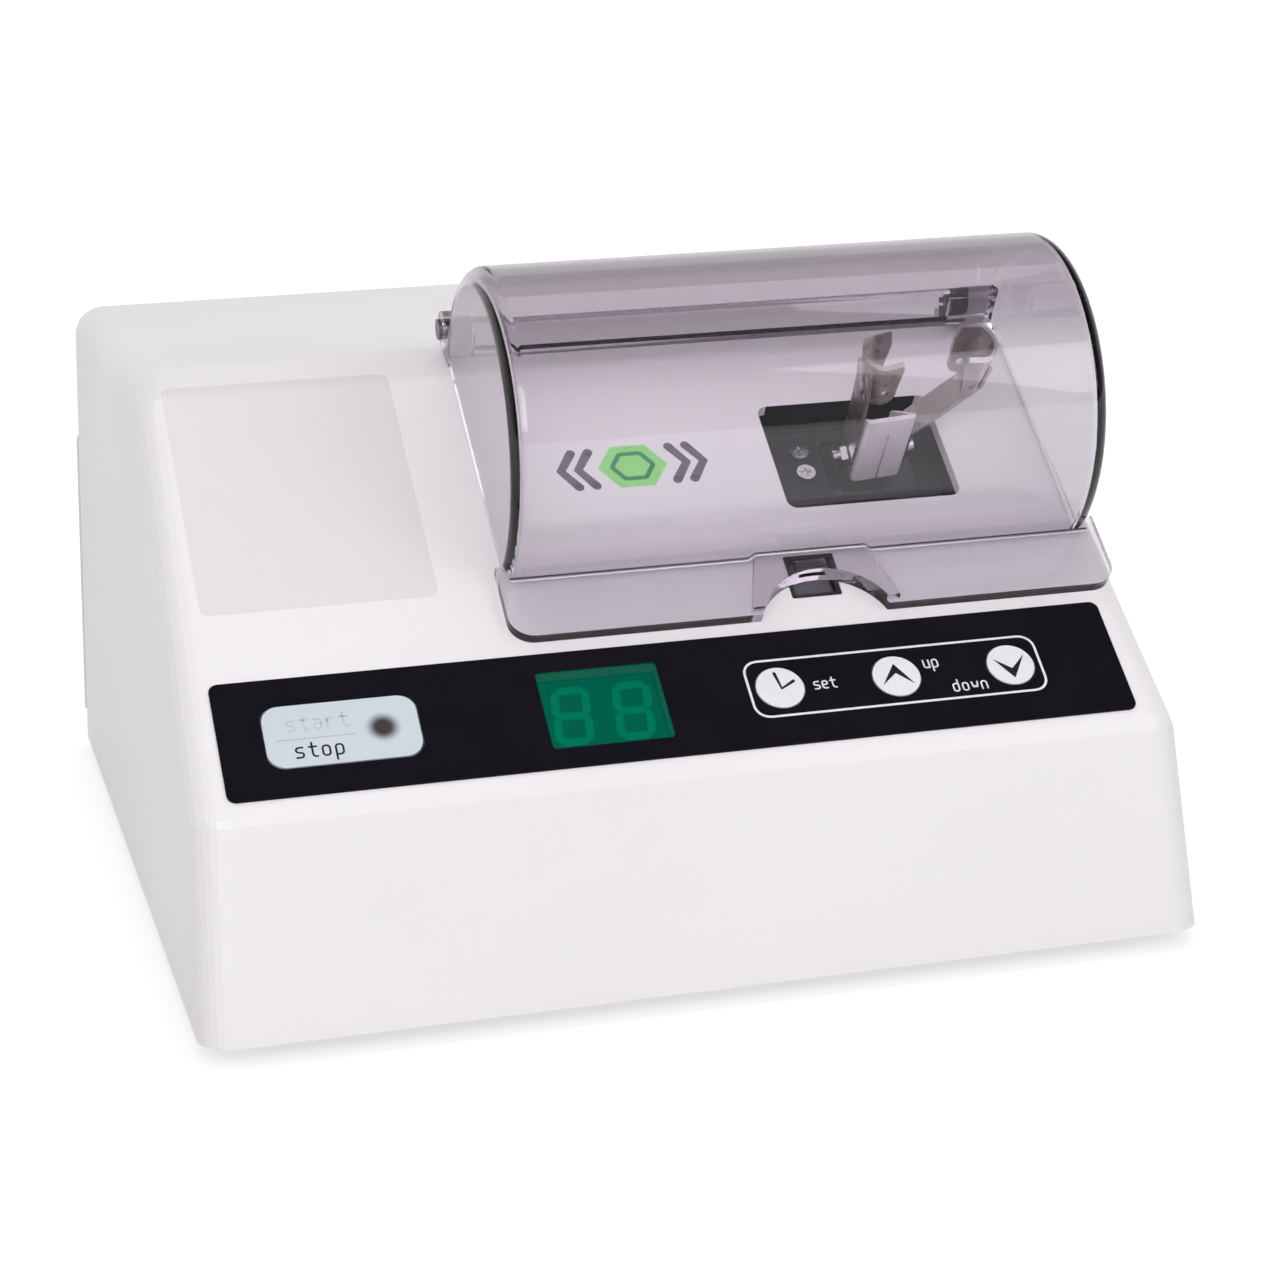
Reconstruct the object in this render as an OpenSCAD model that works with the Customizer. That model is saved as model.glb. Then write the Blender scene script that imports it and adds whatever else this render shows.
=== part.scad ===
/* [Casing] */
// Width of the casing along its bottom edge
casing_w = 220; // [200:1:260]
// Depth of the casing along its bottom edge
casing_d = 272; // [250:1:320]
// Height of the knee where the front wall turns into the slope
knee_z = 46; // [40:1:60]
// How far the knee lies behind the bottom front edge
knee_y = 8; // [2:0.5:15]
// Angle of the slope above the horizontal
slope_a = 39.5; // [36:0.5:42]
// Length of the slope from the knee to the top face
slope_len = 123; // [120:1:135]
// Drop of the top face towards the rear wall
top_drop = 3; // [0:0.5:6]
// Length of the bevel that softens the edge between slope and top
bend_cut = 8; // [4:0.5:10]
// Thickness of the casing wall
wall = 3; // [2:0.25:4]
// Radius of the outer edges
edge_r = 8; // [6:0.5:12]
// Inward lean of the side walls
side_draft = 2.6; // [0:0.2:4]
// Height of the bosses for the chassis screws
boss_h = 22; // [14:1:30]
// Diameter of the screw bosses
boss_d = 9; // [7:0.5:11]

/* [Control panel] */
// Width of the dark film
film_w = 198.4; // [180:0.2:206]
// Height of the dark film along the slope
film_l = 30; // [26:0.5:36]
// Thickness of the film
film_t = 0.4; // [0.3:0.05:0.8]
// Middle of the film along the slope
film_s = 18.5; // [17:0.25:20]
// Shift of the film to the left of the casing's middle
film_shift = 1; // [-3:0.5:3]
// Width of the display window
window_w = 26.4; // [24:0.2:30]
// Height of the display window
window_l = 19.8; // [17:0.2:22]
// Thickness of the display window
window_t = 1.6; // [1:0.1:2]
// Middle of the display window left of the casing's middle
window_x = -18.4; // [-25:0.2:-10]
// Width of the start and stop key
start_w = 32.4; // [26:0.2:38]
// Height of the start and stop key
start_l = 15.6; // [12:0.2:18]
// Middle of the start and stop key left of the casing's middle
start_x = -74.4; // [-80:0.2:-68]
// Diameter of the three round keys
key_d = 10.6; // [8:0.2:12]
// Distance between the round keys
key_pitch = 26.4; // [22:0.2:28]
// First round key, right of the casing's middle
key_x = 20.4; // [18:0.2:26]
// Thickness of a key's cap
key_t = 1.4; // [1:0.1:1.8]
// Travel of a key
key_travel = 0.4; // [0.2:0.05:0.6]
// Gap around each key
key_gap = 0.3; // [0.25:0.05:0.5]
// Gap between the control board's ends and the casing's side walls
board_gap = 6.4; // [5:0.2:9]
// Height of the control board
board_l = 26; // [24:0.5:28]
// Thickness of the circuit boards
board_t = 1.6; // [1:0.1:2]
// Depth of the control board below the slope's outer face
board_depth = 11; // [10:0.5:14]
// Width of one display digit
digit_w = 8.4; // [7:0.2:9]
// Height of one display digit
digit_l = 15; // [12:0.2:16]
// Distance between the two display digits
digit_pitch = 13.4; // [11:0.2:14]
// Lean of the display digits
digit_slant = 6; // [0:1:10]
// Width of a display segment
segment_w = 1.7; // [1:0.1:2]

/* [Cover] */
// Length of the clear cover's dome from end to end
dome_w = 135.4; // [125:0.2:138]
// Middle of the cover right of the casing's middle
dome_x = 34.6; // [32:0.2:36]
// Outer radius of the dome
dome_r = 37; // [36.6:0.1:37.8]
// Height of the dome's axis above the slope
dome_h = 9; // [8:0.25:10]
// Middle of the dome along the slope
dome_s = 89; // [88.5:0.25:89.5]
// Thickness of the cover
cover_t = 2.5; // [2:0.1:3]
// Rounding of the dome's end edges
dome_edge_r = 4; // [3.2:0.2:6]
// Gap between the cover and the slope
cover_gap = 0.4; // [0.3:0.05:0.8]
// Front edge of the cover's flange along the slope
flange_s = 36.6; // [36:0.2:38]
// How far the flange reaches past the dome at each end
flange_out = 1.8; // [1:0.2:2.4]
// Corner radius of the flange
flange_r = 5.5; // [3:0.5:8]
// Width of the finger notch at the front edge
notch_w = 29; // [24:0.5:34]
// Depth of the finger notch
notch_l = 10; // [8:0.5:11]
// Height of the raised lip around the notch
lip_h = 1.6; // [1:0.1:2.4]
// Height of the stiffening band inside the dome's rear edge
band_l = 10; // [6:0.5:12]
// Thickness of the stiffening band
band_t = 2; // [1:0.1:2.4]

/* [Hinge] */
// Hinge axis behind the bend of the casing
hinge_back = 2.7; // [2.4:0.1:3.2]
// Hinge axis above the top face
hinge_up = 4.8; // [4.7:0.1:5.4]
// Radius of the cover's hinge ears
ear_r = 4.2; // [3.6:0.1:4.3]
// Diameter of the hinge pins
pin_d = 3; // [2:0.1:3.4]
// Radial running gap of the pins in the ears
pin_gap = 0.05; // [0.03:0.01:0.08]
// Thickness of a hinge lug along the pin
lug_t = 5; // [4:0.5:6]
// Gap between a lug and the cover's end wall
lug_gap = 0.6; // [0.4:0.1:1]
// Length of a lug's foot on the top face
lug_foot = 20; // [16:1:24]
// Thickness of a lug's foot
lug_foot_t = 3; // [2.4:0.2:4]
// Width of the friction clip along the pin
clip_w = 4; // [3:0.2:5]

/* [Catch] */
// Width of the catch slot in the casing
slot_w = 11.6; // [10:0.2:14]
// Height of the catch slot along the slope
slot_l = 10.6; // [9:0.2:11]
// Middle of the catch slot along the slope
slot_s = 47.6; // [47:0.1:48]
// Middle of the catch slot right of the casing's middle
slot_x = 35.4; // [32:0.2:38]
// Wall of the catch slot's lining
slot_wall = 0.9; // [0.6:0.1:1.2]
// Depth of the catch slot's lining
slot_depth = 9; // [8:0.5:12]
// Travel of the catch plunger
plunger_travel = 1.3; // [0.8:0.1:1.5]
// Depth of the plunger's face while the cover is shut
plunger_sink = 1.8; // [1.6:0.1:2.4]

/* [Well] */
// Width of the opening for the shaker arm
well_w = 41.4; // [38:0.2:46]
// Height of the opening along the slope
well_l = 30.8; // [28:0.2:34]
// Middle of the opening right of the casing's middle
well_x = 56; // [54:0.5:58]
// Middle of the opening along the slope
well_s = 83.4; // [82:0.2:85]
// Corner radius of the opening
well_r = 2.5; // [1:0.5:5]
// Depth of the splash guard's floor below the slope
guard_depth = 11; // [10:0.5:12.5]
// Thickness of the splash guard
guard_t = 1.5; // [1:0.1:2]
// Width of the slot in the splash guard's floor
guard_slot_w = 22; // [21.5:0.5:24]
// Height of the slot in the splash guard's floor
guard_slot_l = 16; // [15:0.5:18]

/* [Shaker] */
// Middle of the arm right of the casing's middle
arm_x = 62; // [61:0.5:63]
// Arm along the slope
arm_s = 88; // [87:0.25:88.5]
// Depth of the motor shaft below the slope
arm_depth = 50; // [48:0.5:52]
// Tilt of the oblique journal, which is half the swing
tilt_a = 5; // [3:0.5:5.5]
// Diameter of the journal
journal_d = 15; // [14:0.5:16]
// Diameter where the bearing's two rings part
race_d = 22; // [20:0.5:24]
// Outer diameter of the bearing
bearing_d = 32; // [30:0.5:34]
// Width of the bearing
bearing_w = 9; // [7:0.5:11]
// Outer diameter of the arm's eye
eye_d = 41; // [39:0.5:44]
// Width of the arm's neck along the slope
neck_l = 7; // [6:0.5:8]
// Thickness of the arm's neck
neck_t = 9; // [8:0.5:10]
// Width of the sheet-metal clip on the arm's end
clip_block_w = 12; // [11.2:0.2:13]
// Thickness of the clip's sheet
clip_t = 1.2; // [0.8:0.1:1.6]
// Height of the clip above the motor shaft where it starts
clip_z = 39.5; // [39:0.5:41]
// Length of the clip
clip_l = 20; // [16:0.5:22]
// Thickness of the spring prongs
prong_t = 0.9; // [0.6:0.1:1.2]
// Width of the spring prongs
prong_w = 7; // [6:0.5:9]
// How far the left claw stands out from the clip
left_spread = 0.7; // [0:0.1:2]
// How far the right claw stands out from the clip
right_spread = 14.5; // [12:0.5:15]
// Foot of the claws above the slope
claw_low = 13; // [12:0.5:15]
// Height of the claws
claw_l = 14.5; // [13:0.5:17]
// Reach of a claw's wings towards the capsule, at their top
wing_w = 7.5; // [6:0.5:8.5]
// Width of a claw's cup
claw_w = 9; // [8:0.2:11]
// How much higher the left claw stands than the right one
left_rise = 2; // [0:0.5:3]
// Outward lean of the left claw
left_lean = 8; // [0:1:12]
// Outward lean of the right claw
right_lean = 10; // [0:1:20]
// Opening of a prong when a capsule is put in
prong_flex = 2.5; // [1:0.5:3]

/* [Motor] */
// Outer diameter of the motor
motor_d = 62; // [56:1:66]
// Length of the motor
motor_l = 70; // [60:1:74]
// Gap from the motor's face to the arm
motor_gap = 20; // [19:0.5:22]
// Diameter of the motor shaft
shaft_d = 8; // [6:0.5:9]
// Outer diameter of the motor's bearings
motor_bearing_d = 22; // [20:0.5:24]
// Thickness of the motor's sheet and of its bracket
motor_t = 2; // [1.5:0.25:3]
// Number of fan blades
fan_blades = 8; // [5:1:10]
// Height of the rubber mounts
mount_h = 11; // [9:0.5:12]
// Diameter of the tail pin that keeps the arm from turning
tail_d = 5; // [4:0.5:6]
// Thickness of the plate whose slot guides the tail pin
guide_t = 6; // [4:0.5:8]

/* [Chassis] */
// Thickness of the steel chassis
chassis_t = 1.5; // [1:0.1:2]
// Gap between the casing's walls and the chassis floor
chassis_gap = 0.6; // [0.4:0.1:1.5]
// Height of the steel rear panel
panel_h = 86; // [80:1:95]
// Height of the rubber feet below the casing
foot_h = 4; // [3:0.5:6]
// Diameter of the rubber feet
foot_d = 20; // [14:1:24]
// Distance of the feet from the casing's edges
foot_in = 26; // [22:1:30]

/* [Rear connections] */
// Mains inlet left of the middle
inlet_x = -62; // [-66:1:-58]
// Height of the middle of the inlet and the switch
inlet_z = 44; // [42:1:50]
// Width of the mains inlet's cut-out
inlet_w = 28; // [27:0.5:30]
// Height of the mains inlet's cut-out, with its fuse drawer
inlet_l = 33; // [32:0.5:34]
// Depth of the inlet behind the panel
inlet_deep = 24; // [22:1:28]
// Mains switch left of the middle
switch_x = -22; // [-26:1:-16]
// Width of the mains switch's cut-out
switch_w = 13; // [12:0.5:15]
// Height of the mains switch's cut-out
switch_l = 19.4; // [18:0.2:22]
// Thickness of the bezels on the rear panel
bezel_t = 2; // [1.5:0.25:2.5]
// Swing of the switch's rocker
rocker_swing = 20; // [12:1:22]

/* [Power supply] */
// Width of the transformer's core
core_w = 54; // [48:1:58]
// Depth of the transformer's core
core_d = 30; // [24:1:34]
// Height of the transformer's core
core_h = 45; // [40:1:50]
// Width of the power board
power_w = 92; // [80:1:96]
// Depth of the power board
power_d = 58; // [50:1:60]
// Height of the posts under the power board
post_h = 9; // [6:0.5:12]

/* [Hidden] */
$fn = 48;
// Small clearance between neighbours that don't move against each other
fit = 0.1;
// Overlap of shapes that are fused in one piece
bite = 0.5;
// Depth below the bottom edge to which the outlines run before they are trimmed
below = 20;
// A length past every piece, for cuts
far = 400;
steel = "silver";

// Side outline of the casing, from the front foot round to the rear foot
bend = slope_point(slope_len, 0);
top_a = atan(top_drop / (casing_d - bend[0]));
outline = [[-knee_y * below / knee_z, -below], [knee_y, knee_z], slope_point(slope_len - bend_cut, 0),
    bend + bend_cut * [cos(top_a), -sin(top_a)], [casing_d, bend[1] - top_drop], [casing_d, -below]];
corners = [for (i = [0 : len(outline) - 1])
    inset_corner(outline[(i + len(outline) - 1) % len(outline)], outline[i],
        outline[(i + 1) % len(outline)], edge_r)];
// What stands out behind the casing: the rear panel, a bezel and the rocker
rear_reach = chassis_t + bezel_t;
row_y = -(casing_d + rear_reach) / 2;
// Chassis floor
floor_z = 1;
floor_top = floor_z + chassis_t;
boss_x = half_width(0) - wall - boss_d / 2 + bite;
boss_y = [wall + boss_d / 2 + 9, casing_d - wall - boss_d / 2 - 9];
screw_d = 3;
pilot_d = 2.6;
// Control panel
film_x = -film_shift;
key_xs = [key_x, key_x + key_pitch, key_x + 2 * key_pitch];
key_flange = 1;
key_flange_t = 0.8;
key_stem_d = 3.4;
tact_h = 4;
board_w = 2 * (half_width(knee_z) - wall - board_gap);
board_xs = [film_x - board_w / 2 + 3, film_x - board_w * 0.223, film_x + board_w * 0.025,
    film_x + board_w / 2 - 8.5];
post_d = 5;
// Cover
dome_x0 = dome_x - dome_w / 2;
dome_x1 = dome_x + dome_w / 2;
notch_r = (notch_w * notch_w / 4 + notch_l * notch_l) / (2 * notch_l);
dome_in_r = dome_r - cover_t;
hinge = top_point(hinge_back, hinge_up);
hinge_s = to_slope(hinge)[0];
hinge_h = to_slope(hinge)[1];
lug_x0 = dome_x0 + cover_t + lug_gap;
lug_x1 = dome_x1 - cover_t - lug_gap - lug_t;
lug_r = hinge_up - 0.5;
tongue_w = 7;
tongue_t = 2;
// Shaker
eye_gap = 0.05;
hub_l = bearing_w + 4;
motor_x1 = arm_x - motor_gap;
motor_x0 = motor_x1 - motor_l;
shaft_at = slope_point(arm_s, -arm_depth);
end_bell_t = 4;
rotor_d = 30;
air_gap = 0.6;
claw_z = arm_depth + claw_low;
neck_top = clip_z + 9.5;
prong_x = clip_block_w / 2 + fit;
prong_screw_z = clip_z + 4.5;
prong_foot_z = clip_z + 1;
flex_z = prong_foot_z;
bracket_z = floor_top + mount_h;
heel_z = -eye_d / 2 - 4;

// Geometry helpers
function unit(v) = v / norm(v);
function right_of(v) = [v[1], -v[0]];
function inset_corner(a, b, c, r) =
    let (n1 = right_of(unit(b - a)), n2 = right_of(unit(c - b)))
    b + r * (n1 + n2) / (1 + n1 * n2);
function slope_point(s, h) =
    [knee_y + s * cos(slope_a) - h * sin(slope_a), knee_z + s * sin(slope_a) + h * cos(slope_a)];
function to_slope(p) =
    let (d = p - [knee_y, knee_z])
    [d[0] * cos(slope_a) + d[1] * sin(slope_a), -d[0] * sin(slope_a) + d[1] * cos(slope_a)];
function top_point(y, z) =
    bend + [y * cos(top_a) + z * sin(top_a), -y * sin(top_a) + z * cos(top_a)];
function half_width(z) = casing_w / 2 - z * tan(side_draft);

// Frames: the row, the slope, the top face, the motor shaft, the arm and the rear panel
module in_row() { translate([0, row_y, foot_h]) children(); }
module on_slope(x = 0, s = 0, h = 0) {
    in_row() translate([0, knee_y, knee_z]) rotate([slope_a, 0, 0]) translate([x, s, h]) children();
}
module on_top(x = 0, y = 0, z = 0) {
    in_row() translate([0, bend[0], bend[1]]) rotate([-top_a, 0, 0]) translate([x, y, z]) children();
}
module on_shaft(x) { in_row() translate([x, shaft_at[0], shaft_at[1]]) rotate([0, 90, 0]) children(); }
module on_arm() { on_slope(arm_x, arm_s, -arm_depth) rotate([0, 0, tilt_a]) children(); }
module on_journal(x) { on_arm() translate([x, 0, 0]) rotate([0, 90, 0]) children(); }
module on_back(x, z, y = 0) {
    in_row() translate([x, casing_d + chassis_t + y, z]) rotate([90, 0, 180]) children();
}

// Shapes used by several pieces
module rounded(w, l, r) {
    if (w > 2 * r) square([w - 2 * r, l], center = true);
    if (l > 2 * r) square([w, l - 2 * r], center = true);
    for (x = [-1, 1], y = [-1, 1]) translate([x * (w / 2 - r), y * (l / 2 - r)]) circle(r);
}
module slab(w, l, r, z0, z1) { translate([0, 0, z0]) linear_extrude(z1 - z0) rounded(w, l, r); }
module rod(d, z0, z1) { translate([0, 0, z0]) cylinder(d = d, h = z1 - z0); }
module ring(d1, d2, z0, z1) {
    difference() {
        rod(d2, z0, z1);
        rod(d1, z0 - 1, z1 + 1);
    }
}
module pan_screw(d, l, head_d, head_h) {
    rod(d, -l, 0);
    difference() {
        rod(head_d, 0, head_h);
        for (a = [0, 90]) rotate(a) translate([0, 0, head_h]) cube([head_d * 0.6, 0.7, 1.2], center = true);
    }
}

// White moulded casing
module envelope(r) {
    hull() for (side = [-1, 1], c = corners)
        translate([side * (half_width(c[1]) - edge_r / cos(side_draft)), c[0], c[1]]) sphere(r, $fn = 32);
}
module casing_bosses() {
    for (side = [-1, 1], y = boss_y) in_row() translate([side * boss_x, y, 0]) rod(boss_d, floor_top, boss_h);
    for (x = board_xs) on_slope(x, film_s) rod(post_d, -board_depth, -wall / 2);
    for (p = guard_ears) on_slope(well_x + p[0], well_s + p[1]) rod(post_d, -guard_ear_h, -wall / 2);
}
module casing_cuts() {
    in_row() translate([-far / 2, -far / 4, -far]) cube([far, 2 * far, far]);
    in_row() translate([-panel_open_w / 2, casing_d - wall - edge_r, -1])
        cube([panel_open_w, far, panel_open_h + 1]);
    for (side = [-1, 1], y = boss_y) in_row() translate([side * boss_x, y, 0]) rod(pilot_d, 0, boss_h - 3);
    for (x = board_xs) on_slope(x, film_s) rod(pilot_d - 0.4, -board_depth - 1, -wall - 1);
    for (p = guard_ears) on_slope(well_x + p[0], well_s + p[1])
        rod(pilot_d - 0.4, -guard_ear_h - 1, -wall - 0.6);
    on_slope(window_x, film_s) slab(window_w + 2 * fit, window_l + 2 * fit, 1, -far / 8, 1);
    on_slope(start_x, film_s) slab(start_w + 2 * key_gap, start_l + 2 * key_gap, 4, -far / 8, 1);
    for (x = key_xs) on_slope(x, film_s) rod(key_d + 2 * key_gap, -far / 8, 1);
    on_slope(well_x, well_s) slab(well_w, well_l, well_r, -wall - 1, 1);
    on_slope(slot_x, slot_s) slab(slot_w, slot_l, 0.5, -wall - 1, 1);
    for (x = [lug_x0, lug_x1]) on_top(x + lug_t / 2, lug_screw_y) rod(pilot_d, -wall - 1, 1);
    for (p = panel_screws) on_back(p[0], p[1]) rod(pilot_d, -chassis_t - wall - 1, 0);
}
panel_open_w = 2 * (half_width(0) - 24);
panel_open_h = panel_h - 10;
panel_screws = [for (side = [-1, 1], z = [18, panel_h - 14]) [side * (half_width(panel_h) - 13), z]];
lug_screw_y = hinge_back + 13;
guard_ears = [for (x = [-1, 1], s = [-1, 1]) [x * (well_w / 2 + 6.6), s * (well_l / 2 - 4)]];
guard_ear_h = 8;
module casing() color("white") difference() {
    union() {
        in_row() difference() {
            envelope(edge_r);
            envelope(edge_r - wall);
        }
        casing_bosses();
    }
    casing_cuts();
}

// Steel chassis: a floor that bends up into the rear panel
module chassis_profile() {
    bend_r = chassis_t * 1.5;
    back = casing_d + chassis_t;
    translate([casing_d - 30, floor_z]) square([30 - bend_r + chassis_t, chassis_t]);
    translate([casing_d, floor_z + bend_r]) square([chassis_t, 20]);
    translate([back - bend_r, floor_z + bend_r]) intersection() {
        difference() {
            circle(bend_r);
            circle(bend_r - chassis_t);
        }
        translate([0, -bend_r]) square(bend_r);
    }
}
module panel_shape() {
    w0 = half_width(0) - 0.5;
    w1 = half_width(panel_h);
    r = 3;
    polygon([[-w0, 6], [w0, 6], [w1, panel_h - r], [w1 - r, panel_h], [r - w1, panel_h], [-w1, panel_h - r]]);
    for (side = [-1, 1]) translate([side * (w1 - r), panel_h - r]) circle(r);
}
module chassis() color("whitesmoke") difference() {
    union() {
        in_row() translate([0, (floor_y0 + floor_y1) / 2, 0])
            slab(2 * floor_w, floor_y1 - floor_y0, edge_r - wall + 1, floor_z, floor_top);
        in_row() translate([bent_w, 0, 0]) rotate([90, 0, -90]) mirror([1, 0, 0])
            linear_extrude(2 * bent_w) chassis_profile();
        on_back(0, 0, -chassis_t) linear_extrude(chassis_t) panel_shape();
    }
    for (side = [-1, 1], y = boss_y) in_row() translate([side * boss_x, y]) rod(screw_d + 0.4, 0, 5);
    for (p = foot_places) in_row() translate(p) rod(screw_d + 0.4, 0, 5);
    for (p = panel_screws) on_back(p[0], p[1]) rod(screw_d + 0.4, -chassis_t - 1, 1);
    for (p = mount_places) in_row() translate(p) rod(screw_d + 1.4, 0, 5);
    for (p = core_screws) in_row() translate(p) rod(screw_d + 0.4, 0, 5);
    on_back(inlet_x, inlet_z) slab(inlet_w + 2 * fit, inlet_l + 2 * fit, 1, -5, 5);
    on_back(switch_x, inlet_z) slab(switch_w + 2 * fit, switch_l + 2 * fit, 1, -5, 5);
    for (i = [0 : 5]) on_back(48, 30 + 8 * i) slab(52, 3, 1.5, -5, 5);
    for (i = [-3 : 3]) in_row() translate([motor_mid + 9 * i, shaft_at[0]]) slab(3, 40, 1.5, 0, 5);
}
floor_w = half_width(0) - wall - chassis_gap;
floor_y0 = wall + chassis_gap + 0.5;
floor_y1 = casing_d - wall - chassis_gap;
bent_w = panel_open_w / 2 - 1;
motor_mid = (motor_x0 + motor_x1) / 2;
foot_places = [for (side = [-1, 1], y = [foot_in, casing_d - foot_in])
    [side * (casing_w / 2 - foot_in), y, 0]];
bracket_w = 37;
mount_places = [for (x = [motor_x0 + 8, arm_x + 8], side = [-1, 1]) [x, shaft_at[0] + side * 29, 0]];

// Rubber feet and their screws
module feet() color("dimgray") for (p = foot_places) in_row() translate(p) difference() {
    union() {
        translate([0, 0, -foot_h]) cylinder(d1 = foot_d - 2, d2 = foot_d, h = 2);
        rod(foot_d, 2 - foot_h, floor_z);
    }
    rod(screw_d + 0.4, -far, far);
    rod(foot_d / 2, -foot_h - 1, foot_screw_z);
}
foot_screw_z = 1.4 - foot_h;
module foot_screws() color(steel) for (p = foot_places) in_row() translate(p) {
    rod(screw_d, foot_screw_z, floor_top + 4);
    rod(6, foot_screw_z - 1.2, foot_screw_z);
    rod(6.2, floor_top, floor_top + 2.4);
}
module casing_screws() color(steel) {
    for (side = [-1, 1], y = boss_y) in_row() translate([side * boss_x, y, floor_z]) mirror([0, 0, 1])
        pan_screw(pilot_d - 0.02, 14, 5.4, 1.4);
    for (p = panel_screws) on_back(p[0], p[1]) pan_screw(pilot_d - 0.02, 6, 5.6, 1.8);
    for (x = [lug_x0, lug_x1]) on_top(x + lug_t / 2, lug_screw_y, lug_foot_t + 0.02)
        pan_screw(pilot_d - 0.02, lug_foot_t + wall + 2, 4.6, 1.6);
}

// Control film and display window
module control_film() color("#14121c") on_slope(film_x, film_s) difference() {
    slab(film_w, film_l, 2, 0, film_t);
    translate([window_x - film_x, 0, 0]) slab(window_w + fit, window_l + fit, 1, -1, 1);
    translate([start_x - film_x, 0, 0]) slab(start_w + 2 * key_gap, start_l + 2 * key_gap, 4, -1, 1);
    for (x = key_xs) translate([x - film_x, 0, 0]) rod(key_d + 2 * key_gap, -1, 1);
}
module display_window() color("#006c4e", 0.6) on_slope(window_x, film_s)
    slab(window_w, window_l, 1, film_t - window_t, film_t);
module key_stem(w, l, r) {
    slab(w + 2 * key_flange, l + 2 * key_flange, r, -wall - 0.6 - key_flange_t, -wall - 0.6);
    slab(w - 1.2, l - 1.2, r - 0.6, -wall - 0.6, film_t - key_t + bite / 2);
    rod(key_stem_d, -board_depth + tact_h + key_travel, -wall - 0.6);
}
module start_stop_key() color("#e4e8f0") on_slope(start_x, film_s) {
    slab(start_w, start_l, 4, film_t - key_t, film_t);
    key_stem(start_w, start_l, 4);
}
module round_key(i) {
    color("white") on_slope(key_xs[i], film_s) {
        rod(key_d, film_t - key_t, film_t);
        key_stem(key_d, key_d, key_d / 2);
    }
}
module set_key() { round_key(0); }
module up_key() { round_key(1); }
module down_key() { round_key(2); }

// Control board behind the panel
module control_board() color("darkgreen") on_slope(film_x, film_s) difference() {
    slab(board_w, board_l, 1.5, -board_depth - board_t, -board_depth);
    for (x = board_xs) translate([x - film_x, 0, 0]) rod(2.6, -far, 0);
}
module inner_screws() color(steel) {
    for (x = board_xs) on_slope(x, film_s, -board_depth - board_t) mirror([0, 0, 1])
        pan_screw(pilot_d - 0.42, 5, 4.4, 1.4);
    for (p = guard_ears) on_slope(well_x + p[0], well_s + p[1], -guard_ear_h - guard_t) mirror([0, 0, 1])
        pan_screw(pilot_d - 0.42, 5, 4.4, 1.4);
    for (s = floor_screw_s) on_slope(well_x + floor_screw_x, well_s + s, -guard_depth) {
        pan_screw(2.5, guard_t + 2.4, 4.4, 1.5);
        rod(4.6, -guard_t - 2, -guard_t);
    }
}
module key_switches() color("black") for (x = concat([start_x], key_xs)) on_slope(x, film_s) {
    slab(6, 6, 0.6, -board_depth, -board_depth + tact_h - 1);
    rod(3.4, -board_depth, -board_depth + tact_h - key_gap / 2);
}
module display_module() color("#0b3a2c") on_slope(window_x, film_s)
    slab(window_w - 1.2, window_l - 1, 0.4, -board_depth, -2.6);
module segment(l) {
    half = segment_w / 2;
    polygon([[-l / 2, 0], [half - l / 2, -half], [l / 2 - half, -half], [l / 2, 0], [l / 2 - half, half],
        [half - l / 2, half]]);
}
module digit() {
    across = digit_w - segment_w;
    up = (digit_l - segment_w) / 2;
    lean = tan(digit_slant);
    for (row = [-1 : 1]) translate([row * up * lean, row * up]) segment(across - 0.3);
    for (side = [-1, 1], row = [-1, 1])
        translate([side * across / 2 + row * up / 2 * lean, row * up / 2]) rotate(90 - digit_slant)
        segment(up - 0.3);
}
module display_segments() color("#00906a") for (side = [-1, 1])
    on_slope(window_x + side * digit_pitch / 2, film_s, -2.6) linear_extrude(0.3) digit();
module status_light() color("lightgray") on_slope(start_x + 9, film_s) {
    rod(3, -board_depth, -board_depth + 3);
    translate([0, 0, 3 - board_depth]) sphere(d = 3);
}
module controller_chip() color("#202020") on_slope(film_x + 60, film_s, -board_depth - board_t) {
    slab(34, 13, 0.5, -3.6, -0.4);
    for (i = [-6 : 6], side = [-1, 1]) translate([2.54 * i, side * 7, -1.2]) cube([1, 1, 2.4], center = true);
}

// Catch under the cover's finger notch
module catch_lining() color("#25232c") on_slope(slot_x, slot_s) difference() {
    union() {
        slab(slot_w - 2 * fit, slot_l - 2 * fit, 0.4, -slot_depth, -0.1);
        slab(slot_w + 4, slot_l + 4, 1, -wall - 1.4, -wall - fit);
        for (side = [-1, 1]) translate([-5, side * (switch_t / 2 + fit + 0.6) - 0.6, -slot_depth - 11])
            cube([10, 1.2, 12]);
    }
    slab(slot_w - 2 * fit - 2 * slot_wall, slot_l - 2 * fit - 2 * slot_wall, 0.3, -slot_depth + 1.5, 1);
    rod(4, -far / 4, 1);
}
module catch_plunger() color("gray") on_slope(slot_x, slot_s) {
    rim = 2 * fit + 2 * slot_wall + 0.5;
    slab(slot_w - rim, slot_l - rim, 0.3, -plunger_sink - 3, -plunger_sink);
    rod(3.2, -slot_depth - 2.4, -plunger_sink - 2);
}
switch_t = 6.4;
module cover_switch() color("#303038") on_slope(slot_x, slot_s) {
    difference() {
        slab(20, switch_t, 0.5, -slot_depth - 13, -slot_depth - 3);
        for (x = [-7.5, 7.5]) translate([x, 0, -slot_depth - 10]) rotate([90, 0, 0])
            cylinder(d = 2.4, h = far, center = true);
    }
    rod(1.8, -slot_depth - 4, -slot_depth - 2.5);
}

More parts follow.
